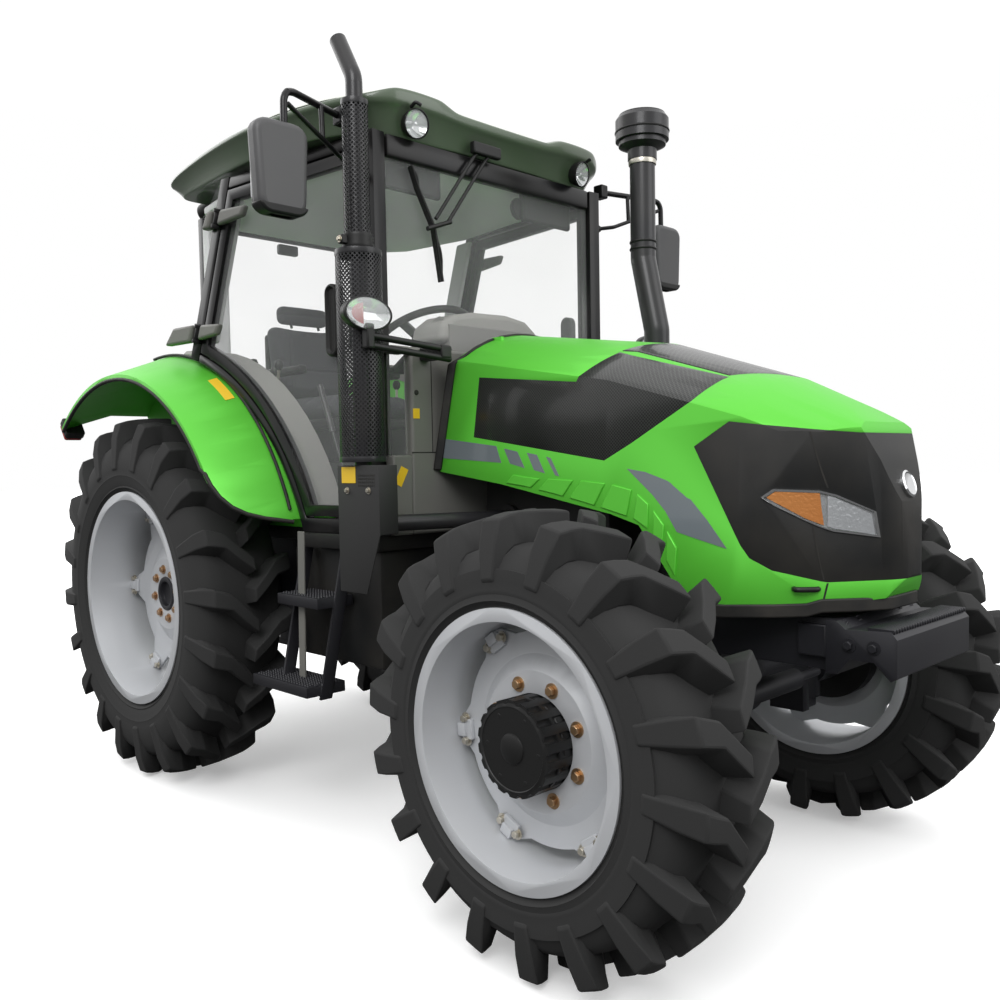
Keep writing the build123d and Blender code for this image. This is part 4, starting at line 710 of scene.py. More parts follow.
def tyre_shape(axle, count, depth):
    """The carcass with its side wall rings, and both rows of lugs."""
    wheel = wheel_facts(axle)
    middle, tip, half, rim, rim_half = (wheel[key] for key in ("middle", "tip", "half", "rim", "rim_half"))
    floor = tip - depth
    side_r = rim + 0.40 * (floor - rim)
    # half of the section: across, radius
    section = [(0.0, floor), (0.45 * half, floor - 0.004), (0.68 * half, floor - 0.012), (0.82 * half, floor - 0.032),
               (0.90 * half, floor - 0.062), (0.945 * half, side_r + 0.03), (0.955 * half, side_r),
               (0.945 * half, side_r - 0.018), (0.950 * half, side_r - 0.022), (0.935 * half, side_r - 0.030),
               (0.925 * half, rim + 0.045), (rim_half + 0.004, rim + 0.022), (rim_half + 0.006, rim + 0.017),
               (rim_half - 0.002, rim + 0.013), (rim_half - 0.009, rim + 0.004), (rim_half - 0.009, rim - 0.024)]
    section = [(-across, radius) for across, radius in reversed(section[1:])] + section
    profile = [middle + Vector((0, across, radius)) for across, radius in section]
    carcass = turned(f"carcass_{axle}", profile, middle, Y, steps=108, closed=True, smooth=40)
    right_row = lug_shape(f"lugs_{axle}", wheel, depth)
    left_row = copied(right_row, f"lugs_{axle}_inner",
                      Matrix.Translation(middle) @ Matrix.Scale(-1, 4, Y) @ Matrix.Translation(-middle))
    ringed(right_row, count, middle)
    ringed(left_row, count, middle, first=math.pi / count)
    tyre = joined(f"rubber_{axle}_left", [carcass, right_row, left_row])
    wear = tyre.data.attributes.new("wear", "FLOAT", "POINT")
    for vertex, item in zip(tyre.data.vertices, wear.data):
        reach = math.hypot(vertex.co.x - middle.x, vertex.co.z - middle.z)
        across = abs(vertex.co.y - middle.y)
        item.value = max(0.0, min(1.0, (reach - tip + 0.034) / 0.016)) if across < 0.9 * half else 0.0
    return shaded(tyre, 30)


class TRACTOR_OT_tyres(bpy.types.Operator):
    """Make the four tyres with their tread lugs"""

    bl_idname = "tractor.tyres"
    bl_label = "Tyres"

    def execute(self, context):
        sizes = context.scene.tractor_sizes
        for axle, count in (("front", sizes.front_lugs), ("rear", sizes.rear_lugs)):
            left = tyre_shape(axle, count, sizes.lug_depth)
            right = opposite(left, f"rubber_{axle}_right")
            for side, tyre in (("left", left), ("right", right)):
                dressed(tyre, f"wheel_{axle}_{side}", "tyre_rubber")
                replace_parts(tyre, f"tyre_{axle}_{side}")
        return {"FINISHED"}


# ------------------------------------------------------------------ wheels
# axle: hub face; circle and first angle of the hub bolts; circle, face and first angle of the clamp bolts;
# circle and face of the clamp plates
WHEEL_FITTINGS = {"front": (0.768, 0.142, 22.5, 0.268, 0.748, 5, 0.268, 0.740),
                  "rear": (0.655, 0.100, 10, 0.358, 0.628, 59, 0.352, 0.620)}
HUB_BOLTS, CLAMPS = 8, 6
CLAMP_FORK = ((-0.022, -0.026, 0), (0.010, -0.030, 0), (0.020, -0.012, 0), (0.006, 0.0, 0), (0.020, 0.012, 0),
              (0.010, 0.030, 0), (-0.022, 0.026, 0))

def wheel_fittings(axle):
    """Hub bolts, clamp bolts and forked clamp plates of the left wheel on this axle, each with its finish."""
    middle = wheel_facts(axle)["middle"]
    face, hub_r, hub_first, bolt_r, bolt_y, first, plate_r, plate_y = WHEEL_FITTINGS[axle]

    def outward(degrees):
        turn = math.radians(degrees)
        return Vector((math.cos(turn), 0, math.sin(turn)))

    def centre(across):
        return Vector((middle.x, across, middle.z))

    big, small = bolt_shape(0.0125, 0.011), bolt_shape(0.010, 0.012)
    hub = scattered(f"hub_bolts_{axle}_left", big,
                    [facing(centre(face) + hub_r * outward(hub_first + 360 / HUB_BOLTS * i), Y) for i in range(HUB_BOLTS)])
    apart = 1.65 / bolt_r
    lugs = scattered(f"clamp_bolts_{axle}_left", small,
                     [facing(centre(bolt_y) + bolt_r * outward(first + 60 * i + shift), Y)
                      for i in range(CLAMPS) for shift in (-apart, apart)])
    plate = slab("clamp_template", CLAMP_FORK, (0, 0, 0.012), 0.003)
    places = []
    for i in range(CLAMPS):
        away = outward(first + 60 * i)
        turn = Matrix((away, Y.cross(away), Y)).transposed().to_4x4()
        places.append(Matrix.Translation(centre(plate_y) + plate_r * away) @ turn)
    plates = scattered(f"clamp_plates_{axle}_left", plate, places)
    discard(big, small, plate)
    return [(hub, "brass"), (lugs, "zinc"), (plates, "rim_silver")]

def hub_cap():
    """The cast cover on the left front hub: a scalloped drum with a raised rim, rings and a boss."""
    wheel = wheel_facts("front")
    middle = Vector((wheel["middle"].x, 0.0, wheel["middle"].z))
    profile = [middle + Vector((0, across, radius)) for across, radius in (
        (0.770, 0.112), (0.790, 0.112), (0.793, 0.108), (0.800, 0.108), (0.803, 0.1155), (0.840, 0.1155), (0.850, 0.108),
        (0.852, 0.100), (0.846, 0.094), (0.842, 0.072), (0.849, 0.069), (0.850, 0.060), (0.845, 0.056), (0.844, 0.040),
        (0.853, 0.036), (0.857, 0.026), (0.858, 0.001))]
    drum = turned("hub_cap_front_left", profile, middle, Y, steps=72, closed=False)
    bpy.ops.mesh.primitive_cylinder_add(vertices=24, radius=0.0115, depth=0.10)
    cutter = settle(called("scallop"))
    around = [Vector((math.cos(t), 0, math.sin(t))) for t in (FULL_TURN * i / 18 for i in range(18))]
    cutters = scattered("scallops", cutter, [facing(middle + Y * 0.862 + v * 0.1165, Y) for v in around])
    modify(drum, "BOOLEAN", object=cutters, operation="DIFFERENCE", solver="EXACT")
    discard(cutter, cutters)
    bevelled(drum, 0.0015, 2, 35)
    shaded(drum, 35)
    small = bolt_shape(0.006, 0.006)
    studs = scattered("hub_cap_bolts", small, [facing(middle + Y * 0.843 + v * 0.083, Y) for v in around[::3]])
    discard(small)
    return joined("hub_cap_front_left", [drum, studs])


class TRACTOR_OT_wheels(bpy.types.Operator):
    """Fit the hub cap, the bolts and the clamps"""

    bl_idname = "tractor.wheels"
    bl_label = "Wheel fittings"

    def execute(self, context):
        for axle in ("front", "rear"):
            pieces = wheel_fittings(axle)
            if axle == "front":
                pieces.append((hub_cap(), "gloss_black"))
            for piece, finish in pieces:
                right = opposite(piece, piece.name.replace("left", "right"))
                dressed(piece, f"wheel_{axle}_left", finish)
                dressed(right, f"wheel_{axle}_right", finish)
        return {"FINISHED"}


# ------------------------------------------------------------------ hood
SIDE_BANDS = (
    ((1.384, 1.268), (1.390, 1.306), (1.624, 1.277), (1.648, 1.225), (1.379, 1.244)),
    ((1.657, 1.269), (1.714, 1.258), (1.747, 1.208), (1.685, 1.222)),
    ((1.753, 1.254), (1.794, 1.247), (1.828, 1.192), (1.784, 1.202)),
    ((1.830, 1.241), (1.848, 1.237), (1.884, 1.183), (1.868, 1.186)),
    ((2.122, 1.203), (2.180, 1.194), (2.251, 1.170), (2.314, 1.130), (2.372, 1.070), (2.431, 1.000), (2.350, 1.020),
     (2.285, 1.037), (2.248, 1.090), (2.206, 1.133)),
)
# embossed panels under the bands: lower rear, upper rear, upper front, lower front
VENT_PANELS = (
    ((1.672, 1.163), (1.700, 1.188), (1.810, 1.176), (1.776, 1.150)),
    ((1.806, 1.143), (1.842, 1.176), (1.938, 1.172), (1.902, 1.126)),
    ((1.926, 1.121), (1.966, 1.171), (2.052, 1.163), (2.018, 1.101)),
    ((2.040, 1.096), (2.076, 1.160), (2.140, 1.146), (2.128, 1.074)),
    ((2.150, 1.068), (2.158, 1.136), (2.196, 1.108), (2.196, 1.042)),
    ((2.214, 1.022), (2.212, 1.092), (2.246, 1.054), (2.244, 0.982)),
    ((2.258, 0.962), (2.256, 1.040), (2.288, 0.996), (2.286, 0.922)),
)
LAMP_LINE = ((2.508, 1.129), (2.533, 1.149), (2.627, 1.144), (2.654, 1.133), (2.717, 1.090), (2.724, 1.027), (2.649, 1.044),
             (2.596, 1.072), (2.535, 1.108))
AMBER_LINE = ((2.520, 1.128), (2.538, 1.143), (2.627, 1.138), (2.634, 1.060), (2.598, 1.077), (2.544, 1.112))
CLEAR_LINE = ((2.640, 1.132), (2.652, 1.126), (2.710, 1.084), (2.716, 1.034), (2.650, 1.051), (2.640, 1.057))
# lower and upper end of each thin seam, ahead and up
HOOD_SEAMS = (((2.632, 0.868), (2.640, 0.918)), ((2.634, 0.926), (2.612, 1.062)), ((2.640, 1.150), (2.607, 1.288)))
HOOD_FOOT = ((2.330, 0.853), (2.430, 0.856), (2.533, 0.859), (2.600, 0.863))
HOOD_OUT = 0.62


def hood_bezel(side, coat):
    """A bright frame round the headlamp."""
    inner = [(x + (2.62 - x) * 0.045, z + (1.09 - z) * 0.10) for x, z in LAMP_LINE]
    loops = [[at(x, side * HOOD_OUT, z) for x, z in line + line[:1]] for line in (list(LAMP_LINE), inner)]
    piece = skinned(f"headlamp_bezel_{'left' if side > 0 else 'right'}", loops)
    with editing(piece):
        bpy.ops.mesh.remove_doubles(threshold=0.0001)
        bpy.ops.mesh.subdivide(number_cuts=3)
    wrapped(piece, coat, "y", 0.001, sides=(side < 0, side > 0))
    thickened(piece, 0.006)
    return settle(piece, smooth=30, merge=0.00001)


def hood_edge_x(up):
    """How far ahead the hood's slanting rear edge lies at this height."""
    return 1.368 + (up - 1.2) * 0.17


def strip_round(name, half, drops, thick):
    """A strip along places on the left and their mirror images on the right, its far edge moved by the drops."""
    line = half + [Vector((p.x, -p.y, p.z)) for p in reversed(half[:-1])]
    drops = drops + [Vector((d.x, -d.y, d.z)) for d in reversed(drops[:-1])]
    piece = skinned(name, [line, [place + move * 0.5 for place, move in zip(line, drops)],
                           [place + move for place, move in zip(line, drops)]])
    thickened(piece, thick)
    settle(piece)
    bevelled(piece, 0.35 * thick, 3, 50)
    return shaded(piece, 50)


def hood_seals(coat):
    """The rubber seal round the hood's rear edge, and the lip under its nose."""
    edge, drops = [], []
    starts = [(at(hood_edge_x(up) + 0.006, HOOD_OUT, up), -Y) for up in (1.206, 1.26, 1.32, 1.38, 1.44, 1.50, 1.545)]
    starts += [(at(hood_edge_x(1.66) + 0.008, across, 1.9), -Z) for across in (0.300, 0.25, 0.19, 0.13, 0.06, 0.0)]
    for start, direction in starts:
        place, _ = touch(coat, start, direction)
        edge.append(place)
        drops.append(Vector((-0.020, 0.018, 0.0))
                     if direction == -Y else Vector((max(AXLE_X + 1.374 - place.x, -0.012), 0.0, 0.003)))
    seal = strip_round("hood_seal", edge, drops, 0.011)
    dressed(seal, "hood", "rubber_trim")
    foot = [touch(coat, at(ahead, HOOD_OUT, up + 0.006), -Y)[0] for ahead, up in HOOD_FOOT]
    foot += [touch(coat, at(3.0, across, 0.880), -X)[0] for across in (0.225, 0.15, 0.07, 0.0)]
    lip = strip_round("hood_lip", foot, [Vector((0, 0, -0.034))] * len(foot), 0.012)
    dressed(lip, "hood", "rubber_trim")


class TRACTOR_OT_hood(bpy.types.Operator):
    """Dress the hood: bands, embossed panels, headlamps, badge boss, catch, seams and seals"""

    bl_idname = "tractor.hood"
    bl_label = "Hood"

    def execute(self, context):
        coat = skin("hood_skin", ("hood_shell", "grille", "headlamps", "hood_mesh"))
        hood_seals(coat)
        for side_name, side in SIDES:
            bands = [decal(f"band_{side_name}_{i}", points, side, coat) for i, points in enumerate(SIDE_BANDS)]
            fitted(f"hood_bands_{side_name}", bands, "decal_grey", "hood")
            vents = []
            for i, points in enumerate(VENT_PANELS):
                panel = decal(f"vent_{side_name}_{i}", points, side, coat, thickness=0.007)
                bevelled(panel, 0.0025, 2, 50)
                vents.append(panel)
            fitted(f"hood_vents_{side_name}", vents, "body_green", "hood")
            seams = []
            for i, ((foot_x, foot_z), (top_x, top_z)) in enumerate(HOOD_SEAMS):
                points = ((foot_x - 0.0015, foot_z), (foot_x + 0.0015, foot_z), (top_x + 0.0015, top_z),
                          (top_x - 0.0015, top_z))
                seams.append(decal(f"seam_{side_name}_{i}", points, side, coat))
            fitted(f"hood_seams_{side_name}", seams, "rubber_trim", "hood")
            for label, points in (("amber", AMBER_LINE), ("clear", CLEAR_LINE)):
                lens = decal(f"headlamp_{label}_{side_name}", points, side, coat, thickness=0.003, lift=0.0015)
                dressed(lens, "hood", f"{label}_lens")
            dressed(hood_bezel(side, coat), "hood", "chrome")
            catch_at, out = touch(coat, at(2.60, side * HOOD_OUT, 0.904), Vector((0, -side, 0)))
            run = Vector((0.7, -side * 0.7, 0)).normalized() * 0.030
            catch = pipe(f"hood_catch_{side_name}", [catch_at - run - out * 0.006, catch_at - run * 0.9 + out * 0.014,
                                                     catch_at + run * 0.9 + out * 0.014, catch_at + run - out * 0.006],
                         0.007, bend=0.010)
            dressed(catch, "hood", "gloss_black")
        place, out = touch(coat, at(3.0, 0.0, 1.154), -X)
        boss = lathe("badge_boss", ((0, 0.008), (0.025, 0.007), (0.030, 0.009), (0.035, 0.006), (0.036, -0.004), (0, -0.004)),
                     place, out)
        dressed(boss, "hood", "chrome")
        discard(coat)
        return {"FINISHED"}


# ------------------------------------------------------------------ roof
# the roof's outline from the front round to the rear: distance ahead, half width,
# then heights of the lower edge, the rim's foot and the rim's top
ROOF_LINE = (
    (1.350, 0.000, 2.272, 2.345, 2.382), (1.351, 0.120, 2.272, 2.345, 2.382), (1.352, 0.205, 2.272, 2.346, 2.382),
    (1.353, 0.232, 2.270, 2.348, 2.384), (1.355, 0.285, 2.268, 2.352, 2.404), (1.356, 0.310, 2.267, 2.353, 2.407),
    (1.356, 0.400, 2.266, 2.354, 2.408), (1.351, 0.465, 2.266, 2.354, 2.406), (1.344, 0.492, 2.267, 2.353, 2.402),
    (1.318, 0.540, 2.268, 2.350, 2.386), (1.265, 0.592, 2.272, 2.346, 2.374), (1.180, 0.640, 2.274, 2.344, 2.368),
    (1.000, 0.686, 2.276, 2.342, 2.366), (0.771, 0.703, 2.278, 2.345, 2.368), (0.522, 0.676, 2.284, 2.355, 2.378),
    (0.250, 0.630, 2.302, 2.366, 2.386), (0.040, 0.590, 2.320, 2.372, 2.390), (-0.070, 0.545, 2.332, 2.372, 2.388),
    (-0.094, 0.470, 2.336, 2.372, 2.388), (-0.098, 0.240, 2.338, 2.374, 2.390), (-0.098, 0.000, 2.338, 2.374, 2.390))
# the crown's rings: share of the outline's size about the crown's middle ahead, height
CROWN_MIDDLE = 0.600
CROWN_RINGS = ((0.965, 2.375), (0.950, 2.392), (0.900, 2.408), (0.80, 2.452), (0.70, 2.497), (0.58, 2.528), (0.40, 2.545),
               (0.20, 2.552))


def roof_ring(inset, heights):
    """One ring of places round the roof, so far in from its outline, closed on itself."""
    half = [at(CROWN_MIDDLE + (x - CROWN_MIDDLE) * inset, y * inset, z) for (x, y, *_), z in zip(ROOF_LINE, heights)]
    return half + [Vector((p.x, -p.y, p.z)) for p in reversed(half[1:-1])] + half[:1]


def ringed_shell(name, rings):
    """A closed rounded shell through rings of places."""
    shell = skinned(name, rings)
    with editing(shell):
        bpy.ops.mesh.remove_doubles(threshold=0.0001)
    with editing(shell):
        pick(shell, "EDGE", lambda edge: edge.is_boundary)
        bpy.ops.mesh.fill_holes(sides=0)
        bpy.ops.mesh.select_all(action="SELECT")
        bpy.ops.mesh.normals_make_consistent(inside=False)
    modify(shell, "SUBSURF", levels=2, render_levels=2)
    return shaded(shell, 40)


class TRACTOR_OT_roof(bpy.types.Operator):
    """Make the roof: a dark fascia with a rounded rim, and a crown whose pale colour is painted sky reflection"""

    bl_idname = "tractor.roof"
    bl_label = "Roof"

    def execute(self, context):
        lows, feet, tops = ([row[i] for row in ROOF_LINE] for i in (2, 3, 4))
        rings = [roof_ring(0.90, lows), roof_ring(0.935, lows), roof_ring(0.938, [z + 0.004 for z in lows]),
                 roof_ring(0.955, [(a + b) / 2 for a, b in zip(lows, feet)]), roof_ring(0.985, feet),
                 roof_ring(0.998, [z + 0.006 for z in feet]), roof_ring(1.0, [z - 0.006 for z in tops]),
                 roof_ring(0.995, tops), roof_ring(0.975, [z + 0.004 for z in tops]),
                 roof_ring(0.95, [z + 0.002 for z in tops])]
        fascia = ringed_shell("roof_fascia", rings)
        dressed(fascia, "chassis", "roof_paint")
        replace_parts(fascia, "cab_roof")
        # the crown's pale colour is painted sky reflection on the roof's top
        crown = ringed_shell("roof_crown", [roof_ring(share, [z] * len(ROOF_LINE)) for share, z in CROWN_RINGS])
        dressed(crown, "chassis", "roof_top")
        return {"FINISHED"}


# ------------------------------------------------------------------ cab
WALL_FOOT_X, WALL_FOOT_Y = 0.345, 0.655
WALL_TURN = math.atan(0.109)
POST_LEAN = 0.365
POST_FOOT_Z = 1.640


def beside(along, up, out, side):
    """A place by the slanting side wall of the cab: so far ahead of the door post's foot, up, and out from the wall."""
    return at(WALL_FOOT_X + along * math.cos(WALL_TURN) + out * math.sin(WALL_TURN),
              side * (WALL_FOOT_Y - along * math.sin(WALL_TURN) + out * math.cos(WALL_TURN)), up)


def post_edge(up):
    """How far along the side wall the door post's front edge lies at this height."""
    return (up - POST_FOOT_Z) * POST_LEAN


def wall_plate(name, points, side, inner, outer, bevel, segments=3):
    """A rounded plate on the side wall, from an outline along and up the wall."""
    push = beside(0, 0, outer, side) - beside(0, 0, inner, side)
    return slab(name, [beside(along, up, inner, side) for along, up in points], push, bevel, segments)


def rounded(low_x, low_z, high_x, high_z, radius, steps=4):
    """Outline of a rectangle with round corners."""
    points = []
    for corner_x, corner_z, first in ((high_x - radius, high_z - radius, 0), (low_x + radius, high_z - radius, 90),
                                      (low_x + radius, low_z + radius, 180), (high_x - radius, low_z + radius, 270)):
        for i in range(steps + 1):
            turn = math.radians(first + 90 * i / steps)
            points.append((corner_x + radius * math.cos(turn), corner_z + radius * math.sin(turn)))
    return points


class TRACTOR_OT_doors(bpy.types.Operator):
    """Fit the door hinges' covers, the handles and the stays"""

    bl_idname = "tractor.doors"
    bl_label = "Door fittings"

    def execute(self, context):
        for side_name, side in SIDES:
            door = f"door_{side_name}"
            fixed, moving = [], []
            for low, high, back, ahead in ((1.700, 1.762, 0.20, 0.13), (2.098, 2.158, 0.075, 0.16)):
                middle = post_edge((low + high) / 2)
                lean = (high - low) * POST_LEAN / 2
                fixed.append(wall_plate("hinge_foot", [(middle - back - lean, low), (middle - 0.030 - lean, low),
                                                       (middle - 0.030 + lean, high), (middle - back * 0.8 + lean, high)],
                                        side, -0.004, 0.034, 0.010))
                moving.append(wall_plate("hinge_arm", [(middle + 0.014 - lean, low + 0.004),
                                                       (middle + ahead - lean, low + 0.012),
                                                       (middle + ahead + lean, high - 0.012),
                                                       (middle + 0.014 + lean, high - 0.004)], side, 0.001, 0.030, 0.010))
            fitted(f"hinge_covers_{side_name}", fixed, "moulded_grey")
            fitted(f"hinge_arms_{side_name}", moving, "moulded_grey", door)
            lock = wall_plate(f"door_lock_{side_name}", rounded(0.752, 1.580, 0.812, 1.815, 0.029), side, -0.012, 0.024,
                              0.008)
            with editing(lock):
                out = (beside(0, 0, 1, side) - beside(0, 0, 0, side)).normalized()
                pick(lock, "FACE", lambda face: face.normal.dot(out) > 0.98 and face.calc_area() > 0.004)
                bpy.ops.mesh.inset(thickness=0.008)
                bpy.ops.transform.translate(value=-out * 0.008)
            dressed(lock, door, "moulded_black")
            stay = pipe(f"door_stay_{side_name}", [beside(0.640, 1.500, -0.046, side), beside(0.700, 1.340, -0.046, side)],
                        0.010)
            rod = pipe("stay_rod", [beside(0.695, 1.353, -0.046, side), beside(0.760, 1.185, -0.046, side)], 0.005)
            fitted(f"door_stay_{side_name}", [stay, rod], "stack_black")
        return {"FINISHED"}


# wiper: post, elbow and link places across and up in the plane of its sweep
WIPER_X = 1.315
WIPER_ARMS = (((-0.115, 2.292), (-0.305, 2.030)), ((-0.060, 2.292), (-0.250, 2.030)))
WIPER_JOIN = (-0.340, 1.993)
WIPER_BLADE = ((-0.397, 2.185), (-0.372, 2.120), (-0.305, 2.000), (-0.276, 1.830))


def wiper():
    """A twin-arm wiper with its long blade, hung from the front of the roof."""
    parts = []
    for i, ((top_y, top_z), (foot_y, foot_z)) in enumerate(WIPER_ARMS):
        parts.append(pipe(f"wiper_arm_{i}", [at(1.345, top_y, top_z), at(WIPER_X + 0.016, top_y - 0.02, top_z - 0.03),
                                             at(WIPER_X + 0.010, foot_y, foot_z)], 0.0065, bend=0.015))
    parts.append(block("wiper_box", at(1.328, -0.150, 2.272), at(1.352, -0.020, 2.312), 0.006))
    parts.append(pipe("wiper_link", [at(WIPER_X + 0.010, WIPER_ARMS[1][1][0] + 0.01, WIPER_ARMS[1][1][1]),
                                     at(WIPER_X + 0.008, *WIPER_JOIN)], 0.008))
    parts.append(pipe("wiper_spine", [at(WIPER_X + 0.004, y, z) for y, z in WIPER_BLADE], 0.0055))
    for low, high in ((0, 1), (2, 3)):
        (low_y, low_z), (high_y, high_z) = WIPER_BLADE[low], WIPER_BLADE[high]
        parts.append(pipe(f"wiper_claw_{low}", [at(WIPER_X, low_y, low_z),
                                                at(WIPER_X + 0.012, (low_y + high_y) / 2 + 0.006, (low_z + high_z) / 2),
                                                at(WIPER_X, high_y, high_z)], 0.004, bend=0.02))
    rubber = [at(1.2985, y, z) for y, z in WIPER_BLADE]
    lift = [at(WIPER_X, y, z) for y, z in WIPER_BLADE]
    blade = skinned("wiper_rubber", [rubber, lift])
    thickened(blade, 0.004)
    parts.append(settle(blade))
    return joined("wiper", parts)


def cab_lining():
    """Grey linings inside the cab: the ceiling, the post covers, the panels over the wheel arches and the visors."""
    ceiling = [(1.250, 0.490), (0.520, 0.575), (0.170, 0.520), (0.010, 0.380)]
    top = slab("ceiling", [at(x, y, 2.232) for x, y in ceiling] + [at(x, -y, 2.232) for x, y in reversed(ceiling)],
               (0, 0, 0.030), 0.010)
    dressed(top, "chassis", "lining_pale")
    parts, pale = [], []
    for side_name, side in SIDES:
        pale.append(wall_plate(f"post_cover_{side_name}", [(post_edge(1.70) - 0.085, 1.70), (post_edge(1.70) + 0.012, 1.70),
                                                            (post_edge(2.22) + 0.012, 2.22), (post_edge(2.22) - 0.085, 2.22)],
                                side, -0.075, -0.052, 0.008))
        pale.append(block(f"rear_cover_{side_name}", at(-0.008, side * 0.395 - 0.045, 1.45),
                           at(0.050, side * 0.395 + 0.045, 2.235), 0.012))
        arch = []
        for across, radius in ((0.420, 0.930), (0.420, 0.9905), (0.535, 0.9905), (0.548, 0.978), (0.548, 0.968)):
            row = []
            for i in range(13):
                turn = math.radians(22 + 5.6 * i)
                row.append(at(radius * math.cos(turn), side * across, FENDER_AT + radius * math.sin(turn)))
            arch.append(row)
        cover = skinned(f"arch_cover_{side_name}", arch)
        thickened(cover, 0.005)
        parts.append(settle(cover, smooth=40))
    fitted("arch_covers", parts, "lining_grey")
    fitted("post_covers", pale, "lining_pale")
    visors = [block(f"visor_{side_name}", at(1.215, side * 0.335 - 0.135, 2.125), at(1.238, side * 0.335 + 0.135, 2.236),
                    0.010) for side_name, side in SIDES]
    glassy = lathe("inner_mirror", ((0, 0), (0.034, 0), (0.040, 0.006), (0.040, 0.014), (0.030, 0.022), (0, 0.022)),
                   at(1.225, 0.20, 2.170), -X)
    fitted("sun_visors", visors + [glassy], "moulded_black")


def corner_glass():
    """Cowl of the cab: the grey column behind the hood, a narrow pane on either side of it, and the hood's hinge arms."""
    edge, foot, top, rear, front = 0.452, 1.000, 1.600, 1.316, 1.356
    column = block("cowl_column", at(rear, -edge, foot), at(front, edge, top), 0.010, 3)
    parts = [column]
    for side_name, side in SIDES:
        low, high = sorted((side * edge, side * 0.530))
        parts.append(block(f"cowl_sill_{side_name}", at(rear, low, foot), at(front, high, 1.255), 0.006))
        parts.append(block(f"cowl_rail_{side_name}", at(rear - 0.022, low, 1.578), at(front, high, top), 0.005))
        for inner in (0.148, 0.162):
            arm_low, arm_high = sorted((side * inner, side * (inner + 0.012)))
            parts.append(block(f"hinge_arm_{side_name}", at(1.340, arm_low, 1.564), at(1.480, arm_high, 1.604), 0.005))
    parts.append(pipe("hinge_pin", [at(1.465, -0.180, 1.588), at(1.465, 0.180, 1.588)], 0.0095, sides=6))
    cowl = joined("cowl_dressed", parts)
    dressed(cowl, "chassis", "moulded_grey")
    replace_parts(cowl, "cowl")
    seams = [block("cowl_seam", at(front - 0.002, -edge - 0.0015, 1.262), at(front + 0.0012, edge, 1.265), 0.0008)]
    for side_name, side in SIDES:
        low, high = sorted((side * 0.365, side * 0.368))
        seams.append(block("cowl_edge", at(front - 0.002, low, 1.265), at(front + 0.0012, high, 1.560), 0.0008))
        seams.append(lathe("cowl_plug", ((0, 0.003), (0.008, 0.002), (0.010, -0.002), (0, -0.002)),
                           at(front, side * 0.430, 1.455), X))
    fitted("cowl_seams", seams, "rubber_trim")
    panes = []
    for side_name, side in SIDES:
        low, high = sorted((side * (edge + 0.001), side * 0.529))
        panes.append(block(f"corner_pane_{side_name}", at(1.330, low, 1.256), at(1.335, high, 1.577), 0.001))
    fitted("corner_panes", panes, "window_glass")


class TRACTOR_OT_cab(bpy.types.Operator):
    """Fit the wiper, the linings, the cowl and the narrow panes beside it"""

    bl_idname = "tractor.cab"
    bl_label = "Cab fittings"

    def execute(self, context):
        dressed(wiper(), "chassis", "gloss_black")
        cab_lining()
        corner_glass()
        return {"FINISHED"}


# ------------------------------------------------------------------ lamps and mirrors
def lamp_set(name, place, aim, radius, depth, body):
    """A round lamp: its bucket, its bright dish and its lens."""
    direction = Vector(aim).normalized()
    bucket = lathe(f"{name}_bucket", ((0, -depth), (0.55 * radius, -depth), (0.86 * radius, -0.55 * depth),
                                      (1.02 * radius, -0.1 * depth), (1.04 * radius, 0.10 * depth),
                                      (0.97 * radius, 0.12 * depth), (0.94 * radius, 0), (0.5 * radius, -0.45 * depth),
                                      (0, -0.6 * depth)), place, direction)
    dish = lathe(f"{name}_dish", ((0, -0.50 * depth), (0.35 * radius, -0.40 * depth), (0.70 * radius, -0.20 * depth),
                                  (0.93 * radius, 0.02 * depth), (0.93 * radius, -0.02 * depth),
                                  (0.70 * radius, -0.26 * depth), (0.35 * radius, -0.46 * depth), (0, -0.56 * depth)), place,
                 direction)
    lens = lathe(f"{name}_lens", ((0, 0.14 * depth), (0.5 * radius, 0.12 * depth), (0.94 * radius, 0.03 * depth),
                                  (0.94 * radius, 0.0), (0.5 * radius, 0.09 * depth), (0, 0.11 * depth)), place, direction)
    bulb = lathe(f"{name}_bulb", ((0, -0.02 * depth), (0.13 * radius, -0.05 * depth), (0.15 * radius, -0.5 * depth),
                                  (0, -0.5 * depth)), place, direction, steps=16)
    dressed(bucket, body, "gloss_black")
    fitted(f"{name}_dish", [dish, bulb], "reflector", body)
    dressed(lens, body, "lamp_glass")
    return bucket


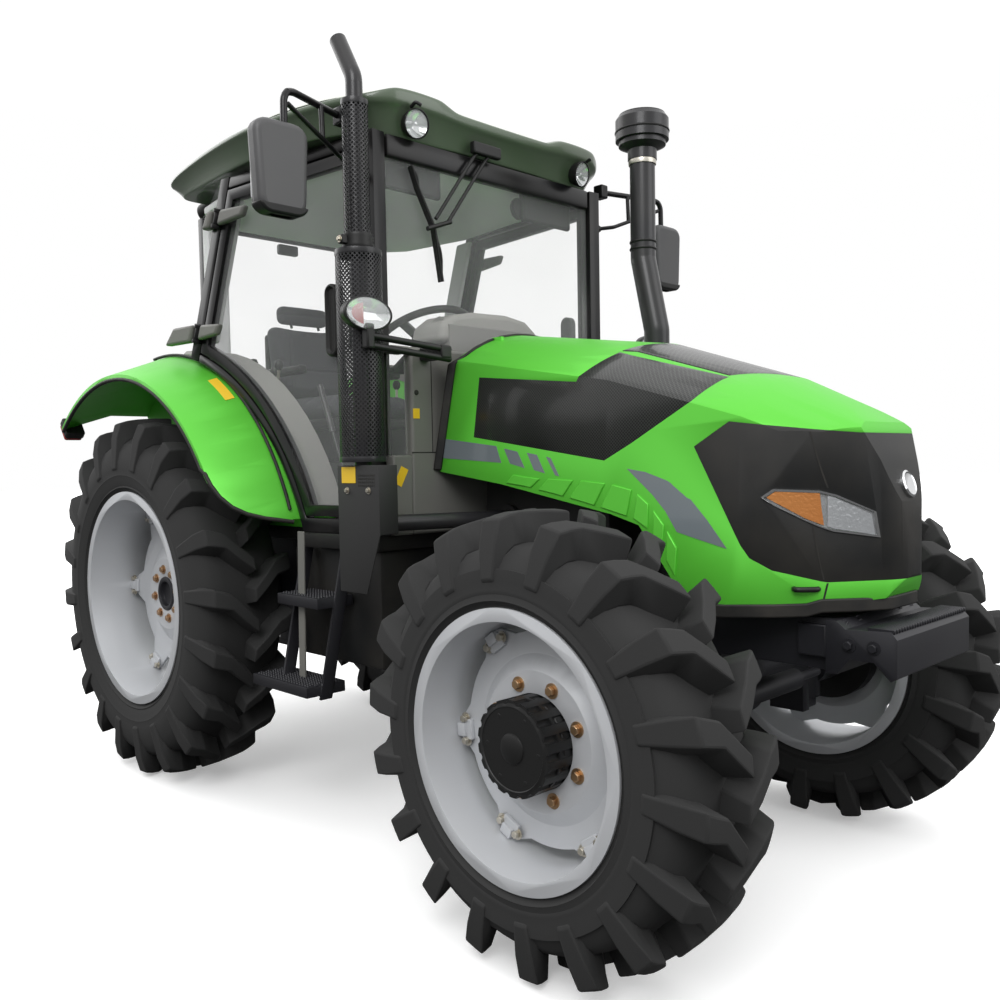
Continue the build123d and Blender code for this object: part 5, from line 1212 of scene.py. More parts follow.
def mirror_set(side_name, side):
    """A door mirror on its braced tubes."""
    line = [(y, z) for y, z in rounded(-0.082, -0.130, 0.082, 0.130, 0.042, steps=5)]
    middle = Vector((1.360, 0.915, 2.060))
    outline_points = [at(middle.x - 0.030, side * (middle.y + y * (1 + 0.08 * z / 0.130)), middle.z + z) for y, z in line]
    shell = slab(f"mirror_{side_name}", outline_points, (0.058, 0, 0), 0.018, 4)
    glass = slab(f"mirror_glass_{side_name}", [at(middle.x - 0.0335, side * (middle.y + 0.88 * y), middle.z + 0.90 * z)
                                               for y, z in line], (0.004, 0, 0), 0.001)
    lip = slab(f"mirror_lip_{side_name}", [at(middle.x - 0.028, side * (middle.y + 1.005 * y), middle.z + z)
                                           for y, z in line if z < -0.092], (0.057, 0, 0), 0.012, 3)
    tubes = [pipe("mirror_tube", [at(1.262, side * 0.640, 2.300), at(1.355, side * 0.868, 2.290),
                                  at(1.360, side * 0.893, 2.275), at(1.360, side * 0.895, 2.190)], 0.0105, bend=0.022),
             pipe("mirror_brace",
                  [at(1.262, side * 0.600, 2.150), at(1.300, side * 0.660, 2.160), at(1.358, side * 0.880, 2.250)], 0.0075,
                  bend=0.01), pipe("mirror_strut", [at(1.312, side * 0.735, 2.290), at(1.316, side * 0.735, 2.190)], 0.008),
             block("mirror_foot", at(1.240, side * 0.626 - 0.02, 2.272), at(1.285, side * 0.626 + 0.02, 2.325), 0.006),
             pipe("mirror_root", [at(1.266, side * 0.548, 2.125), at(1.266, side * 0.606, 2.152)], 0.014)]
    body = dressed(shell, "chassis", "moulded_grey_dark")
    dressed(lip, "chassis", "moulded_black")
    dressed(glass, "chassis", "chrome")
    fitted(f"mirror_tubes_{side_name}", tubes, "post_black")
    return body


def turn_lamp(side_name, side):
    """The oval lamp at the end of its twin bars, in front of the cab's corner."""
    place = at(1.462, side * 0.693, 1.668)
    stretch = Matrix.Translation(place) @ Matrix.Diagonal((1.0, 0.086, 0.050, 1.0)) @ Matrix.Rotation(math.pi / 2, 4, "Y")
    shapes = []
    for label, profile, finish in (
            ("cup", ((0, -0.050), (0.70, -0.046), (0.93, -0.030), (1.0, -0.004), (1.0, 0.004), (0.95, 0.005), (0.94, -0.002),
                     (0.5, -0.016), (0, -0.020)), "gloss_black"),
            ("dish", ((0, -0.016), (0.5, -0.011), (0.90, 0.003), (0.90, 0.0), (0.5, -0.015), (0, -0.0195)), "reflector"),
            ("lens", ((0, 0.024), (0.40, 0.021), (0.75, 0.013), (0.94, 0.003), (0.94, -0.001), (0.75, 0.009), (0.40, 0.017),
                      (0, 0.020)), "lamp_glass")):
        shape = turned(f"turn_{label}_{side_name}", [Vector((radius, 0, height)) for radius, height in profile], (0, 0, 0), Z,
                       steps=40, closed=False)
        shape.data.transform(stretch)
        shapes.append(dressed(shape, "chassis", finish))
    inner = slab(f"turn_red_{side_name}", [at(1.450, side * (0.693 + dy), 1.668 + dz) for dy, dz in
                                           ((0.012, -0.036), (0.050, -0.026), (0.066, 0.0), (0.050, 0.026), (0.012, 0.036))],
                 (0.006, 0, 0), 0.002)
    dressed(inner, "chassis", "red_lens")
    bars = [pipe("turn_bar", [at(1.455, side * 0.372, 1.585 + lift), at(1.455, side * 0.690, 1.606 + lift)], 0.0105)
            for lift in (0.0, -0.029)]
    bars.append(block("turn_bar_end", at(1.440, side * 0.690 - 0.014, 1.566), at(1.470, side * 0.690 + 0.014, 1.640), 0.006))
    bars.append(block("turn_bar_root", at(1.356, side * 0.395 - 0.022, 1.556), at(1.468, side * 0.395 + 0.022, 1.598), 0.006))
    fitted(f"turn_bars_{side_name}", bars, "gloss_black")
    return shapes[0]


def tail_lamp(side_name, side):
    """The upright lamp at the rear end of the fender."""
    turn = math.radians(128)
    out = Vector((-math.sin(turn), 0, math.cos(turn)))
    along = Vector((math.cos(turn), 0, math.sin(turn)))
    centre = at(0, side * 0.790, FENDER_AT) + along * 0.895
    corners = [centre + along * a + Y * b + out * 0.0005 for a, b in rounded(-0.045, -0.040, 0.045, 0.040, 0.010)]
    box = slab(f"tail_box_{side_name}", corners, out * 0.034, 0.004)
    lens = slab(f"tail_lens_{side_name}", [centre + (corner - centre) * 0.92 + out * 0.033 for corner in corners],
                out * 0.019, 0.006, 3)
    dressed(box, "chassis", "moulded_black")
    dressed(lens, "chassis", "red_lens")
    return box


class TRACTOR_OT_lamps(bpy.types.Operator):
    """Make the roof lamps, the turn lamps, the tail lamps and the mirrors"""

    bl_idname = "tractor.lamps"
    bl_label = "Lamps and mirrors"

    def execute(self, context):
        for side_name, side in SIDES:
            bucket = lamp_set(f"roof_lamp_{side_name}", at(1.352, side * 0.403, 2.306), (1, side * 0.12, -0.22), 0.045, 0.055,
                              "chassis")
            grip = pipe("lamp_grip",
                        [at(1.355, side * 0.425, 2.352), at(1.378, side * 0.425, 2.362), at(1.388, side * 0.410, 2.352)],
                        0.006, bend=0.006)
            bucket = fitted(f"roof_lamp_{side_name}_bucket", [bucket, grip], "gloss_black")
            lamp_set(f"work_lamp_{side_name}", at(-0.105, side * 0.360, 2.318), (-1, side * 0.1, -0.25), 0.044, 0.05,
                     "chassis")
            turn = turn_lamp(side_name, side)
            tail = tail_lamp(side_name, side)
            for piece in (bucket, turn, tail):
                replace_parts(piece, "lamps")
            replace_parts(mirror_set(side_name, side), "mirrors")
        return {"FINISHED"}


# ------------------------------------------------------------------ inside the cab
def cushion(name, low, high, crown, bevel, seams):
    """A stuffed pad: a rounded block that swells between its edges, then sewn channels across it."""
    pad = block(name, low, high, bevel, 4)
    modify(pad, "REMESH", mode="VOXEL", voxel_size=0.0075)
    cloth = pad.modifiers.new("Stuffing", "CLOTH")
    cloth.settings.use_pressure = True
    cloth.settings.uniform_pressure_force = 3.0
    cloth.settings.effector_weights.gravity = 0.0
    cloth.settings.mass = 0.3
    cloth.settings.tension_stiffness = 30
    cloth.settings.compression_stiffness = 30
    cloth.collision_settings.use_collision = False
    start = [v.co.copy() for v in pad.data.vertices]
    for number in range(1, 17):
        bpy.context.scene.frame_set(number)
    choose(pad)
    bpy.ops.object.modifier_apply(modifier=cloth.name)
    bpy.context.scene.frame_set(1)
    for vertex, before in zip(pad.data.vertices, start):
        move = vertex.co - before
        if move.length > crown:
            vertex.co = before + move.normalized() * crown
    modify(pad, "SUBSURF", levels=1, render_levels=1)
    normals = [vertex.normal.copy() for vertex in pad.data.vertices]
    for axis, place, facing_axis, sense in seams:
        for vertex, normal in zip(pad.data.vertices, normals):
            gap = (vertex.co[axis] - place[axis]) / 0.006
            if normal[facing_axis] * sense > 0.2 and abs(gap) < 3:
                vertex.co[facing_axis] -= sense * 0.006 * math.exp(-gap * gap)
    choose(pad)
    bpy.ops.object.shade_smooth()
    return pad


class TRACTOR_OT_inside(bpy.types.Operator):
    """Make the seat, the dash hood, the consoles and the levers"""

    bl_idname = "tractor.inside"
    bl_label = "Inside the cab"

    def execute(self, context):
        across, ahead, up = 1, 0, 2
        base = cushion("seat_cushion", at(0.150, -0.210, 1.418), at(0.590, 0.210, 1.498), 0.014, 0.034,
                       [(across, at(0, -0.125, 0), up, 1), (across, at(0, 0.125, 0), up, 1), (ahead, at(0.46, 0, 0), up, 1)])
        back = cushion("seat_back", at(0.076, -0.200, 1.520), at(0.150, 0.200, 1.835), 0.012, 0.032,
                       [(across, at(0, -0.120, 0), ahead, 1), (across, at(0, 0.120, 0), ahead, 1),
                        (up, at(0, 0, 1.640), ahead, 1)])
        head = cushion("seat_headrest", at(0.055, -0.125, 1.855), at(0.115, 0.125, 1.935), 0.008, 0.026,
                       [(up, at(0, 0, 1.895), ahead, 1)])
        hinge = at(0.12, 0, 1.52)
        lean = Matrix.Translation(hinge) @ Matrix.Rotation(math.radians(-5), 4, "Y") @ Matrix.Translation(-hinge)
        for piece in (back, head):
            piece.data.transform(lean)
        for piece, fill in ((base, 0.7), (back, 0.7), (head, 0.8)):
            dressed(piece, "chassis", "seat_cloth")
            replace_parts(piece, "seat")
        frame_parts = [block("seat_pan", at(0.130, -0.200, 1.375), at(0.570, 0.200, 1.418), 0.012),
                       block("seat_box", at(0.180, -0.150, 1.242), at(0.480, 0.150, 1.378), 0.015),
                       block("seat_shell", at(0.036, -0.190, 1.430), at(0.070, 0.190, 1.800), 0.014)]
        for _, side in SIDES:
            frame_parts.append(block("arm_rest", at(0.150, side * 0.240 - 0.022, 1.600),
                                     at(0.420, side * 0.240 + 0.022, 1.636), 0.012))
            frame_parts.append(pipe("arm_post", [at(0.100, side * 0.205, 1.560), at(0.165, side * 0.238, 1.612)], 0.011))
            frame_parts.append(pipe("head_post", [at(0.075, side * 0.070, 1.835), at(0.062, side * 0.070, 1.875)], 0.006))
        fitted("seat_frame", frame_parts, "moulded_black")
        hump = [(-0.250, 1.640), (-0.238, 1.700), (-0.180, 1.738), (-0.080, 1.756), (0.080, 1.760), (0.180, 1.745),
                (0.240, 1.705), (0.252, 1.640)]
        hood = slab("dash_hood", [at(1.105, y, z) for y, z in hump], (0.165, 0, 0.0), 0.022, 4)
        dial_parts = [lathe(f"dial_{i}",
                            ((0, 0.002), (0.040, 0.002), (0.044, 0.006), (0.047, 0.0), (0.047, -0.01), (0, -0.01)),
                            at(1.104, across, 1.690), -X) for i, across in enumerate((-0.13, 0.0, 0.13))]
        dressed(hood, "chassis", "lining_grey")
        fitted("dash_dials", dial_parts, "gloss_black")
        console = slab("side_console", [at(x, -0.400, z)
                                        for x, z in ((-0.02, 1.242), (-0.02, 1.500), (0.30, 1.500), (0.46, 1.440),
                                                     (0.56, 1.242))], (0, 0.130, 0), 0.018, 3)
        console_left = opposite(console, "side_console_left")
        fitted("side_consoles", [console, console_left], "lining_grey")
        levers, knobs = [], []
        for x, y, top, lean in ((0.40, -0.36, 1.62, 0.03), (0.33, -0.33, 1.60, 0.02), (0.26, -0.36, 1.64, -0.02),
                                (0.42, 0.34, 1.60, 0.02), (0.30, 0.33, 1.58, 0.0)):
            levers.append(pipe("lever", [at(x, y, 1.42), at(x + lean, y, top)], 0.006))
            knobs.append(lathe("knob",
                               ((0, 0.028), (0.012, 0.025), (0.018, 0.012), (0.016, -0.004), (0.008, -0.014), (0, -0.014)),
                               at(x + lean, y, top), Z, steps=20))
        fitted("levers", levers, "zinc")
        fitted("lever_knobs", knobs, "gloss_black")
        return {"FINISHED"}


# ------------------------------------------------------------------ fenders
FENDER_AT = 0.715


def fender_line(radius, across, side, first, last, steps):
    """Places along an arc over the rear wheel, from the front foot to the rear end."""
    return [at(radius * math.cos(t), side * across, FENDER_AT + radius * math.sin(t))
            for t in (math.radians(first + (last - first) * i / steps) for i in range(steps + 1))]


# the fender's round front corner, across and up
FENDER_CORNER = ((0.560, 1.000), (0.612, 1.036), (0.700, 1.052), (0.752, 1.068), (0.792, 1.092), (0.820, 1.126),
                 (0.836, 1.166), (0.842, 1.205), (0.860, 1.260))


def fender_skin(across, up):
    """A place on the fender's sloping skin, in front of the rear axle."""
    slope = (0.965 - 0.880) / (0.845 - 0.610)
    radius = 0.965 - max(0.0, abs(across) - 0.610) * slope
    return at(math.sqrt(radius ** 2 - (up - FENDER_AT) ** 2), across, up)


class TRACTOR_OT_fenders(bpy.types.Operator):
    """Round the fenders' front corners, edge them with rubber and put on their bare labels"""

    bl_idname = "tractor.fenders"
    bl_label = "Fenders"

    def execute(self, context):
        guards = copied(NODES["fenders"], "fenders_round")
        with editing(guards):
            bpy.ops.mesh.remove_doubles(threshold=0.00002)
            bpy.ops.mesh.dissolve_limited(angle_limit=math.radians(1))
        for side_name, side in SIDES:
            line = [(0.560, 0.90), *FENDER_CORNER, (0.900, 1.26), (0.900, 0.90)]
            cutter = slab(f"corner_{side_name}", [at(0.5, side * y, z) for y, z in line], (0.6, 0, 0))
            modify(guards, "BOOLEAN", object=cutter, operation="DIFFERENCE", solver="EXACT")
            discard(cutter)
            corner = [fender_skin(side * y, z) for y, z in FENDER_CORNER[1:8]]
            outer = pipe(f"fender_edge_{side_name}", [place + Vector((-0.006, 0, 0)) for place in corner] +
                         fender_line(0.861, 0.842, side, 36, 128, 42), 0.0075)
            inner = pipe("fender_top_edge", fender_line(0.968, 0.622, side, 22, 96, 36), 0.006)
            fitted(f"fender_edges_{side_name}", [outer, inner], "rubber_trim")
            label = skinned(f"fender_label_{side_name}",
                            [[at(r * math.cos(t), side * y, FENDER_AT + r * math.sin(t))
                              for t in (math.radians(53 + 1.3 * i) for i in range(8))]
                             for r, y in ((0.9560, 0.638), (0.9440, 0.671))])
            thickened(label, 0.0012)
            dressed(settle(label, merge=0.00001), "chassis", "label_yellow")
        bevelled(guards, 0.0025, 2, 35)
        shaded(guards, 35)
        dressed(guards, "chassis", "body_green")
        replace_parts(guards, "fenders")
        return {"FINISHED"}


# ------------------------------------------------------------------ stacks
def mesh_sleeve(name, centre, radius, low, high, around, rows):
    """A sleeve of expanded metal: a net of diamonds about an upright axis, with a plain band at each end."""
    step = (high - low) / rows
    net = skinned(name, [[centre + Vector((radius * math.cos(FULL_TURN * i / around),
                                           radius * math.sin(FULL_TURN * i / around), low + step * j))
                          for i in range(around + 1)] for j in range(rows + 1)])
    with editing(net):
        bpy.ops.mesh.remove_doubles(threshold=0.0001)
    with editing(net):
        bpy.ops.mesh.poke()
    corners = around * (rows + 1)
    with editing(net):
        pick(net, "EDGE", lambda edge: all(v.index < corners for v in edge.verts) and not edge.is_boundary)
        bpy.ops.mesh.dissolve_edges(use_verts=False)
        bpy.ops.mesh.select_mode(type="FACE")
        bpy.ops.mesh.select_all(action="SELECT")
        bpy.ops.mesh.inset(thickness=0.0016, use_individual=True)
        bpy.ops.mesh.delete(type="FACE")
    thickened(net, 0.0014)
    settle(net, smooth=30, merge=0.00001)
    bands = [lathe("sleeve_band", ((radius - 0.003, -0.008), (radius + 0.0015, -0.008), (radius + 0.0025, 0.0),
                                   (radius + 0.0015, 0.008), (radius - 0.003, 0.008), (radius - 0.003, -0.008)),
                   centre + Z * up, Z) for up in (low + 0.008, high - 0.008)]
    return joined(name, [net] + bands)


class TRACTOR_OT_stacks(bpy.types.Operator):
    """Dress the exhaust with its net guards, clamp and heat shield, and the air intake with its bands"""

    bl_idname = "tractor.stacks"
    bl_label = "Exhaust and intake"

    def execute(self, context):
        foot = at(1.370, -0.656, 0)
        lower = mesh_sleeve("exhaust_sleeve_lower", foot, 0.0690, 1.235, 1.868, 32, 46)
        upper = mesh_sleeve("exhaust_sleeve_upper", foot, 0.0395, 1.868, 2.310, 18, 33)
        plates = []
        for radius, neck, level in ((0.069, 0.026, 1.238), (0.069, 0.040, 1.866), (0.0395, 0.026, 2.307)):
            plates.append(lathe("sleeve_end",
                                ((neck, -0.003), (radius, -0.003), (radius, 0.003), (neck, 0.003), (neck, -0.003)),
                                foot + Z * level, Z))
        guard = joined("exhaust_net", [lower, upper, *plates])
        dressed(guard, "chassis", "stack_black")
        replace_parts(guard, "exhaust_guard")
        clamp = lathe("exhaust_clamp", ((0.0415, -0.020), (0.0470, -0.020), (0.0485, -0.012), (0.0460, 0.0), (0.0485, 0.012),
                                        (0.0470, 0.020), (0.0415, 0.020), (0.0415, -0.020)), foot + Z * 1.895, Z)
        ears = block("clamp_ear", foot + Vector((-0.012, -0.066, 1.882)), foot + Vector((0.012, -0.044, 1.908)), 0.003)
        fitted("exhaust_clamp", [clamp, ears], "gloss_black")
        bolt = bolt_shape(0.007, 0.007)
        places = [facing(at(x, -0.7003, z), -Y) for x, z in ((1.345, 1.150), (1.452, 1.150))]
        places.append(facing(foot + Vector((0, -0.066, 1.895)), -Y))
        dressed(scattered("shield_bolts", bolt, places), "chassis", "zinc")
        discard(bolt)
        labels = [block("shield_label", at(1.318, -0.7014, 1.172), at(1.388, -0.6998, 1.221), 0.0005)]
        tilt = slab("cowl_label_low",
                    [at(1.3562, y, z) for y, z in ((-0.499, 1.221), (-0.471, 1.208), (-0.501, 1.154), (-0.528, 1.168))],
                    (0.0010, 0, 0))
        labels += [tilt, block("cowl_label", at(1.3556, -0.446, 1.372), at(1.3572, -0.419, 1.404), 0.0004)]
        fitted("yellow_labels", labels, "label_yellow")
        slots = []
        for row in range(4):
            for column in range(9):
                slots.append(Matrix.Translation(at(1.402 + 0.0095 * column, -0.7004, 1.165 + 0.010 * row)) @
                             Matrix.Rotation(math.pi / 2, 4, "X"))
        # dark discs stand for the shield's holes: painted shade of the dark inside of each hole
        dot = lathe("shield_dot", ((0, 0.0006), (0.0030, 0.0006), (0.0034, -0.0006), (0, -0.0006)), (0, 0, 0), Z, steps=8)
        dressed(scattered("shield_holes", dot, slots), "chassis", "rubber_trim")
        discard(dot)
        stack = at(1.617, 0.428, 0)
        rings = []
        for up, radius in ((2.398, 0.0965), (1.985, 0.0475), (2.010, 0.0475)):
            rings.append(lathe("stack_ring", ((radius - 0.009, -0.004), (radius, -0.004), (radius + 0.0015, 0.0),
                                              (radius, 0.004), (radius - 0.009, 0.004), (radius - 0.009, -0.004)),
                               stack + Z * up, Z))
        lid = lathe("cap_lid", ((0, 0.012), (0.050, 0.011), (0.082, 0.004), (0.084, -0.002), (0, -0.002)), stack + Z * 2.455,
                    Z)
        nut = lathe("cap_nut", ((0, 0.012), (0.010, 0.012), (0.012, 0.0), (0, 0.0)), stack + Z * 2.466, Z, steps=6)
        fitted("intake_trim", rings + [lid, nut], "gloss_black")
        band = lathe("intake_clamp",
                     ((0.044, -0.009), (0.0490, -0.009), (0.0500, 0.0), (0.0490, 0.009), (0.044, 0.009), (0.044, -0.009)),
                     stack + Z * 2.292, Z)
        dressed(band, "chassis", "zinc")
        return {"FINISHED"}


# ------------------------------------------------------------------ steps, frame and rear end
STRUT_FOOT, STRUT_TOP = (0.985, 0.500), (1.000, 1.010)


def tread_teeth(name, low, high, side):
    """Raised dots in staggered rows over a step."""
    columns, rows = int((high.x - low.x) / 0.015), int((high.y - low.y) / 0.013) // 2
    across, along = (high.x - low.x) / columns, (high.y - low.y) / rows
    sets = []
    for shift in (0.0, 0.5):
        start = Vector((low.x + across * (0.25 + shift), side * (low.y + along * (0.25 + shift)), high.z))
        teeth = lathe(name, ((0, 0.0045), (0.0032, 0.0040), (0.0052, -0.001), (0, -0.001)), start, Z, steps=8, smooth=60)
        for count, step in ((columns, Vector((across, 0, 0))), (rows, Vector((0, side * along, 0)))):
            modify(teeth, "ARRAY", count=count, use_relative_offset=False, use_constant_offset=True,
                   constant_offset_displace=step)
        sets.append(teeth)
    return joined(name, sets)


class TRACTOR_OT_underbody(bpy.types.Operator):
    """Add the step treads, the engine's side, the axle's fittings, the front beam's teeth and bolts, and the rear end"""

    bl_idname = "tractor.underbody"
    bl_label = "Underbody and rear end"

    def execute(self, context):
        for side_name, side in SIDES:
            teeth = [tread_teeth("teeth", at(low_x, low_y, 0), at(high_x, high_y, top), side)
                     for low_x, high_x, low_y, high_y, top in ((0.918, 1.142, 0.556, 0.684, 0.800),
                                                               (0.828, 1.142, 0.597, 0.733, 0.520))]
            fitted(f"step_teeth_{side_name}", teeth, "chassis_black")
            strut = slab(f"step_strut_{side_name}", [at(x, side * 0.655, z) for x, z in (STRUT_FOOT, STRUT_TOP)] +
                         [at(x + 0.036, side * 0.655, z) for x, z in (STRUT_TOP, STRUT_FOOT)], (0, side * 0.006, 0), 0.0015)
            dressed(strut, "chassis", "moulded_grey")
        self.front_end()
        self.engine_side()
        self.axles()
        self.rear_end()
        return {"FINISHED"}

    def front_end(self):
        parts = []
        for i in range(30):
            y = -0.217 + 0.434 * i / 29
            parts.append(block("beam_tooth", at(2.742, y - 0.004, 0.812), at(2.808, y + 0.004, 0.8235), 0.002, 1))
        bolt = bolt_shape(0.011, 0.010)
        places = [facing(at(2.6680, y, z), X) for y in (-0.190, -0.120, 0.120, 0.190) for z in (0.815, 0.725)]
        places += [facing(at(2.700 + dx, side * 0.2253, 0.775), Vector((0, side, 0))) for dx in (0.0, 0.06)
                   for side in (1, -1)]
        parts.append(scattered("beam_bolts", bolt, places))
        discard(bolt)
        for _, side in SIDES:
            parts.append(block("frame_ear", at(2.560, side * 0.205 - 0.010, 0.735), at(2.636, side * 0.205 + 0.010, 0.815),
                               0.004))
        fitted("front_beam_fittings", parts, "chassis_black")

    def engine_side(self):
        parts = []
        for _, side in SIDES:
            for i in range(5):
                x = 1.150 + 0.135 * i
                parts.append(block("sump_rib", at(x, side * 0.172 - 0.006, 0.540), at(x + 0.014, side * 0.172 + 0.006, 0.900),
                                   0.004))
            parts.append(block("block_rail", at(1.440, side * 0.176 - 0.012, 0.940), at(1.900, side * 0.176 + 0.012, 0.975),
                               0.006))
            parts.append(block("head_cover", at(1.450, side * 0.090 - 0.055, 1.340), at(1.880, side * 0.090 + 0.055, 1.400),
                               0.020))
            parts.append(pipe("brake_line", [at(0.640, side * 0.200, 0.880), at(0.900, side * 0.215, 0.930),
                                             at(1.300, side * 0.200, 0.930), at(1.560, side * 0.186, 0.860)], 0.007,
                              bend=0.05))
        filters = [lathe("oil_filter", ((0, -0.085), (0.040, -0.085), (0.046, -0.078), (0.046, 0.060), (0.042, 0.066),
                                        (0.030, 0.070), (0.030, 0.085), (0, 0.085)), at(x, -0.226, z), Z)
                   for x, z in ((1.700, 0.930), (1.590, 0.935))]
        alternator = lathe("alternator", ((0, -0.070), (0.050, -0.070), (0.062, -0.058), (0.062, 0.050), (0.050, 0.062),
                                          (0.018, 0.064), (0.018, 0.080), (0, 0.080)), at(1.840, -0.236, 0.930), X)
        starter = lathe("starter", ((0, -0.095), (0.040, -0.095), (0.045, -0.085), (0.045, 0.050), (0.032, 0.060),
                                    (0.032, 0.095), (0, 0.095)), at(1.398, -0.210, 0.700), X)
        manifold = pipe("manifold", [at(1.640, -0.165, 1.200), at(1.640, -0.225, 1.200), at(1.880, -0.225, 1.200),
                                     at(1.880, -0.165, 1.200)], 0.026, bend=0.03)
        dressed(joined("engine_fittings", parts + filters + [alternator, starter, manifold]), "chassis", "engine_paint")
        hoses = [pipe("hose", route, 0.013, bend=0.04) for route in (
            [at(1.930, 0.150, 1.180), at(2.080, 0.190, 1.220), at(2.290, 0.160, 1.240)],
            [at(1.930, -0.120, 0.900), at(2.080, -0.170, 0.880), at(2.290, -0.160, 0.900)],
            [at(2.120, -0.206, 0.790), at(2.170, -0.300, 0.760), at(2.180, -0.380, 0.640)],
            [at(2.120, 0.206, 0.790), at(2.170, 0.300, 0.760), at(2.180, 0.380, 0.640)])]
        fitted("hoses", hoses, "rubber_trim")

    def axles(self):
        parts = []
        for _, side in SIDES:
            bolt = bolt_shape(0.009, 0.008)
            ring = [facing(touch(NODES["front_axle"],
                                 at(2.180 + 0.083 * math.cos(t), side * 0.40, 0.558 + 0.083 * math.sin(t)),
                                 Vector((0, -side, 0)))[0], Vector((0, side, 0)))
                    for t in (FULL_TURN * (i + 0.5) / 8 for i in range(8))]
            parts.append(scattered("axle_bolts", bolt, ring))
            discard(bolt)
        ram = pipe("steering_ram", [at(2.320, -0.220, 0.560), at(2.320, 0.220, 0.560)], 0.032, sides=6)
        rod = pipe("ram_rod", [at(2.320, -0.360, 0.560), at(2.320, 0.360, 0.560)], 0.013, sides=4)
        mount = block("ram_mount", at(2.240, -0.060, 0.540), at(2.310, 0.060, 0.585), 0.006)
        fitted("axle_fittings", parts + [ram, rod, mount], "chassis_black")

    def rear_end(self):
        parts = [pipe("pto_shaft", [at(-0.262, 0, 0.600), at(-0.338, 0, 0.600)], 0.0172, sides=8)]
        for i in range(6):
            turn = FULL_TURN * i / 6
            parts.append(block("pto_spline",
                               at(-0.336, 0.0165 * math.cos(turn) - 0.003, 0.600 + 0.0165 * math.sin(turn) - 0.003),
                               at(-0.285, 0.0165 * math.cos(turn) + 0.003, 0.600 + 0.0165 * math.sin(turn) + 0.003), 0.001))
        for i, across in enumerate((-0.120, -0.075, 0.075, 0.120)):
            parts.append(lathe(f"coupler_{i}", ((0, 0.0), (0.017, 0.0), (0.017, 0.020), (0.013, 0.024), (0.013, 0.040),
                                                (0.016, 0.044), (0.016, 0.052), (0, 0.052)), at(-0.2605, across, 0.965), -X,
                               steps=24))
        parts.append(block("coupler_block", at(-0.275, -0.150, 0.935), at(-0.259, 0.150, 0.998), 0.004))
        link = pipe("top_link", [at(-0.330, 0, 0.892), at(-0.300, 0, 1.020), at(-0.180, 0, 1.330)], 0.015, sides=5, bend=0.02)
        sleeve = pipe("top_link_sleeve", [at(-0.290, 0, 1.045), at(-0.215, 0, 1.240)], 0.023, sides=6)
        parts += [link, sleeve, block("link_clip", at(-0.200, -0.030, 1.300), at(-0.052, 0.030, 1.318), 0.004)]
        plate = block("plate_bare", at(-0.062, 0.140, 1.080), at(-0.052, 0.400, 1.190), 0.003)
        parts.append(block("rear_wiper_box", at(-0.064, -0.050, 2.180), at(-0.036, 0.050, 2.226), 0.008))
        parts.append(pipe("rear_handle", [at(-0.040, -0.060, 1.475), at(-0.066, -0.050, 1.475), at(-0.066, 0.050, 1.475),
                                          at(-0.040, 0.060, 1.475)], 0.007, bend=0.012))
        fitted("rear_fittings", parts, "chassis_black")
        dressed(plate, "chassis", "rim_silver")


# ------------------------------------------------------------------ rounded edges
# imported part, width of its rounded edges
EDGE_WIDTHS = (
    ("hood_shell", 0.0045), ("grille", 0.002), ("headlamps", 0.0015), ("hood_mesh", 0.0015),
    ("steps", 0.003), ("front_bracket", 0.006), ("dash", 0.012), ("door_left", 0.005), ("door_right", 0.005),
    ("cab_posts", 0.008), ("cab_headers", 0.008), ("cab_sills", 0.005), ("fuel_tank", 0.025), ("battery_box", 0.015),
    ("gearbox_housing", 0.010), ("engine_block", 0.012), ("front_frame", 0.004), ("front_axle", 0.005), ("drawbar", 0.004),
    ("lower_links", 0.006), ("lift_arms", 0.006), ("cab_floor", 0.008), ("heat_shield", 0.0015), ("radiator", 0.008),
    ("rim_front_left", 0.002), ("rim_front_right", 0.002), ("rim_rear_left", 0.002), ("rim_rear_right", 0.002),
    ("steering_wheel", 0.003), ("rear_axle", 0.006), ("knuckle_left", 0.004), ("knuckle_right", 0.004),
)


class TRACTOR_OT_edges(bpy.types.Operator):
    """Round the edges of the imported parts"""

    bl_idname = "tractor.edges"
    bl_label = "Rounded edges"

    def execute(self, context):
        for node, width in EDGE_WIDTHS:
            softened(node, width)
        return {"FINISHED"}


# ------------------------------------------------------------------ stage
CAMERA_AT = Vector((2.8437, -2.3952, 1.2246))
CAMERA_HEADING, CAMERA_PITCH, CAMERA_ROLL = (math.radians(a) for a in (135.524, -3.131, -1.032))
CAMERA_LENS = 34.25
CAMERA_SHIFT = (0.0013, 0.0151)
FLOOR_SIZE = 120
# name, place, aim, size, power
LIGHTS = (("key_lamp", (4.5, -6.0, 6.5), (0.3, 0, 1.2), 4.0, 330),
          ("fill_lamp", (7.5, 3.0, 4.0), (0.5, 0, 1.2), 5.0, 130),
          ("back_lamp", (-7.0, -2.0, 5.0), (0, 0, 1.2), 5.0, 130))


def area_light(name, place, aim, size, power):
    """A soft rectangular lamp at a place, aimed at another."""
    bpy.ops.object.light_add(type="AREA", location=place)
    lamp = bpy.context.object
    lamp.name = name
    lamp.data.shape = "RECTANGLE"
    lamp.data.size = lamp.data.size_y = size
    lamp.data.energy = power
    lamp.rotation_euler = (Vector(aim) - Vector(place)).to_track_quat("-Z", "Y").to_euler()


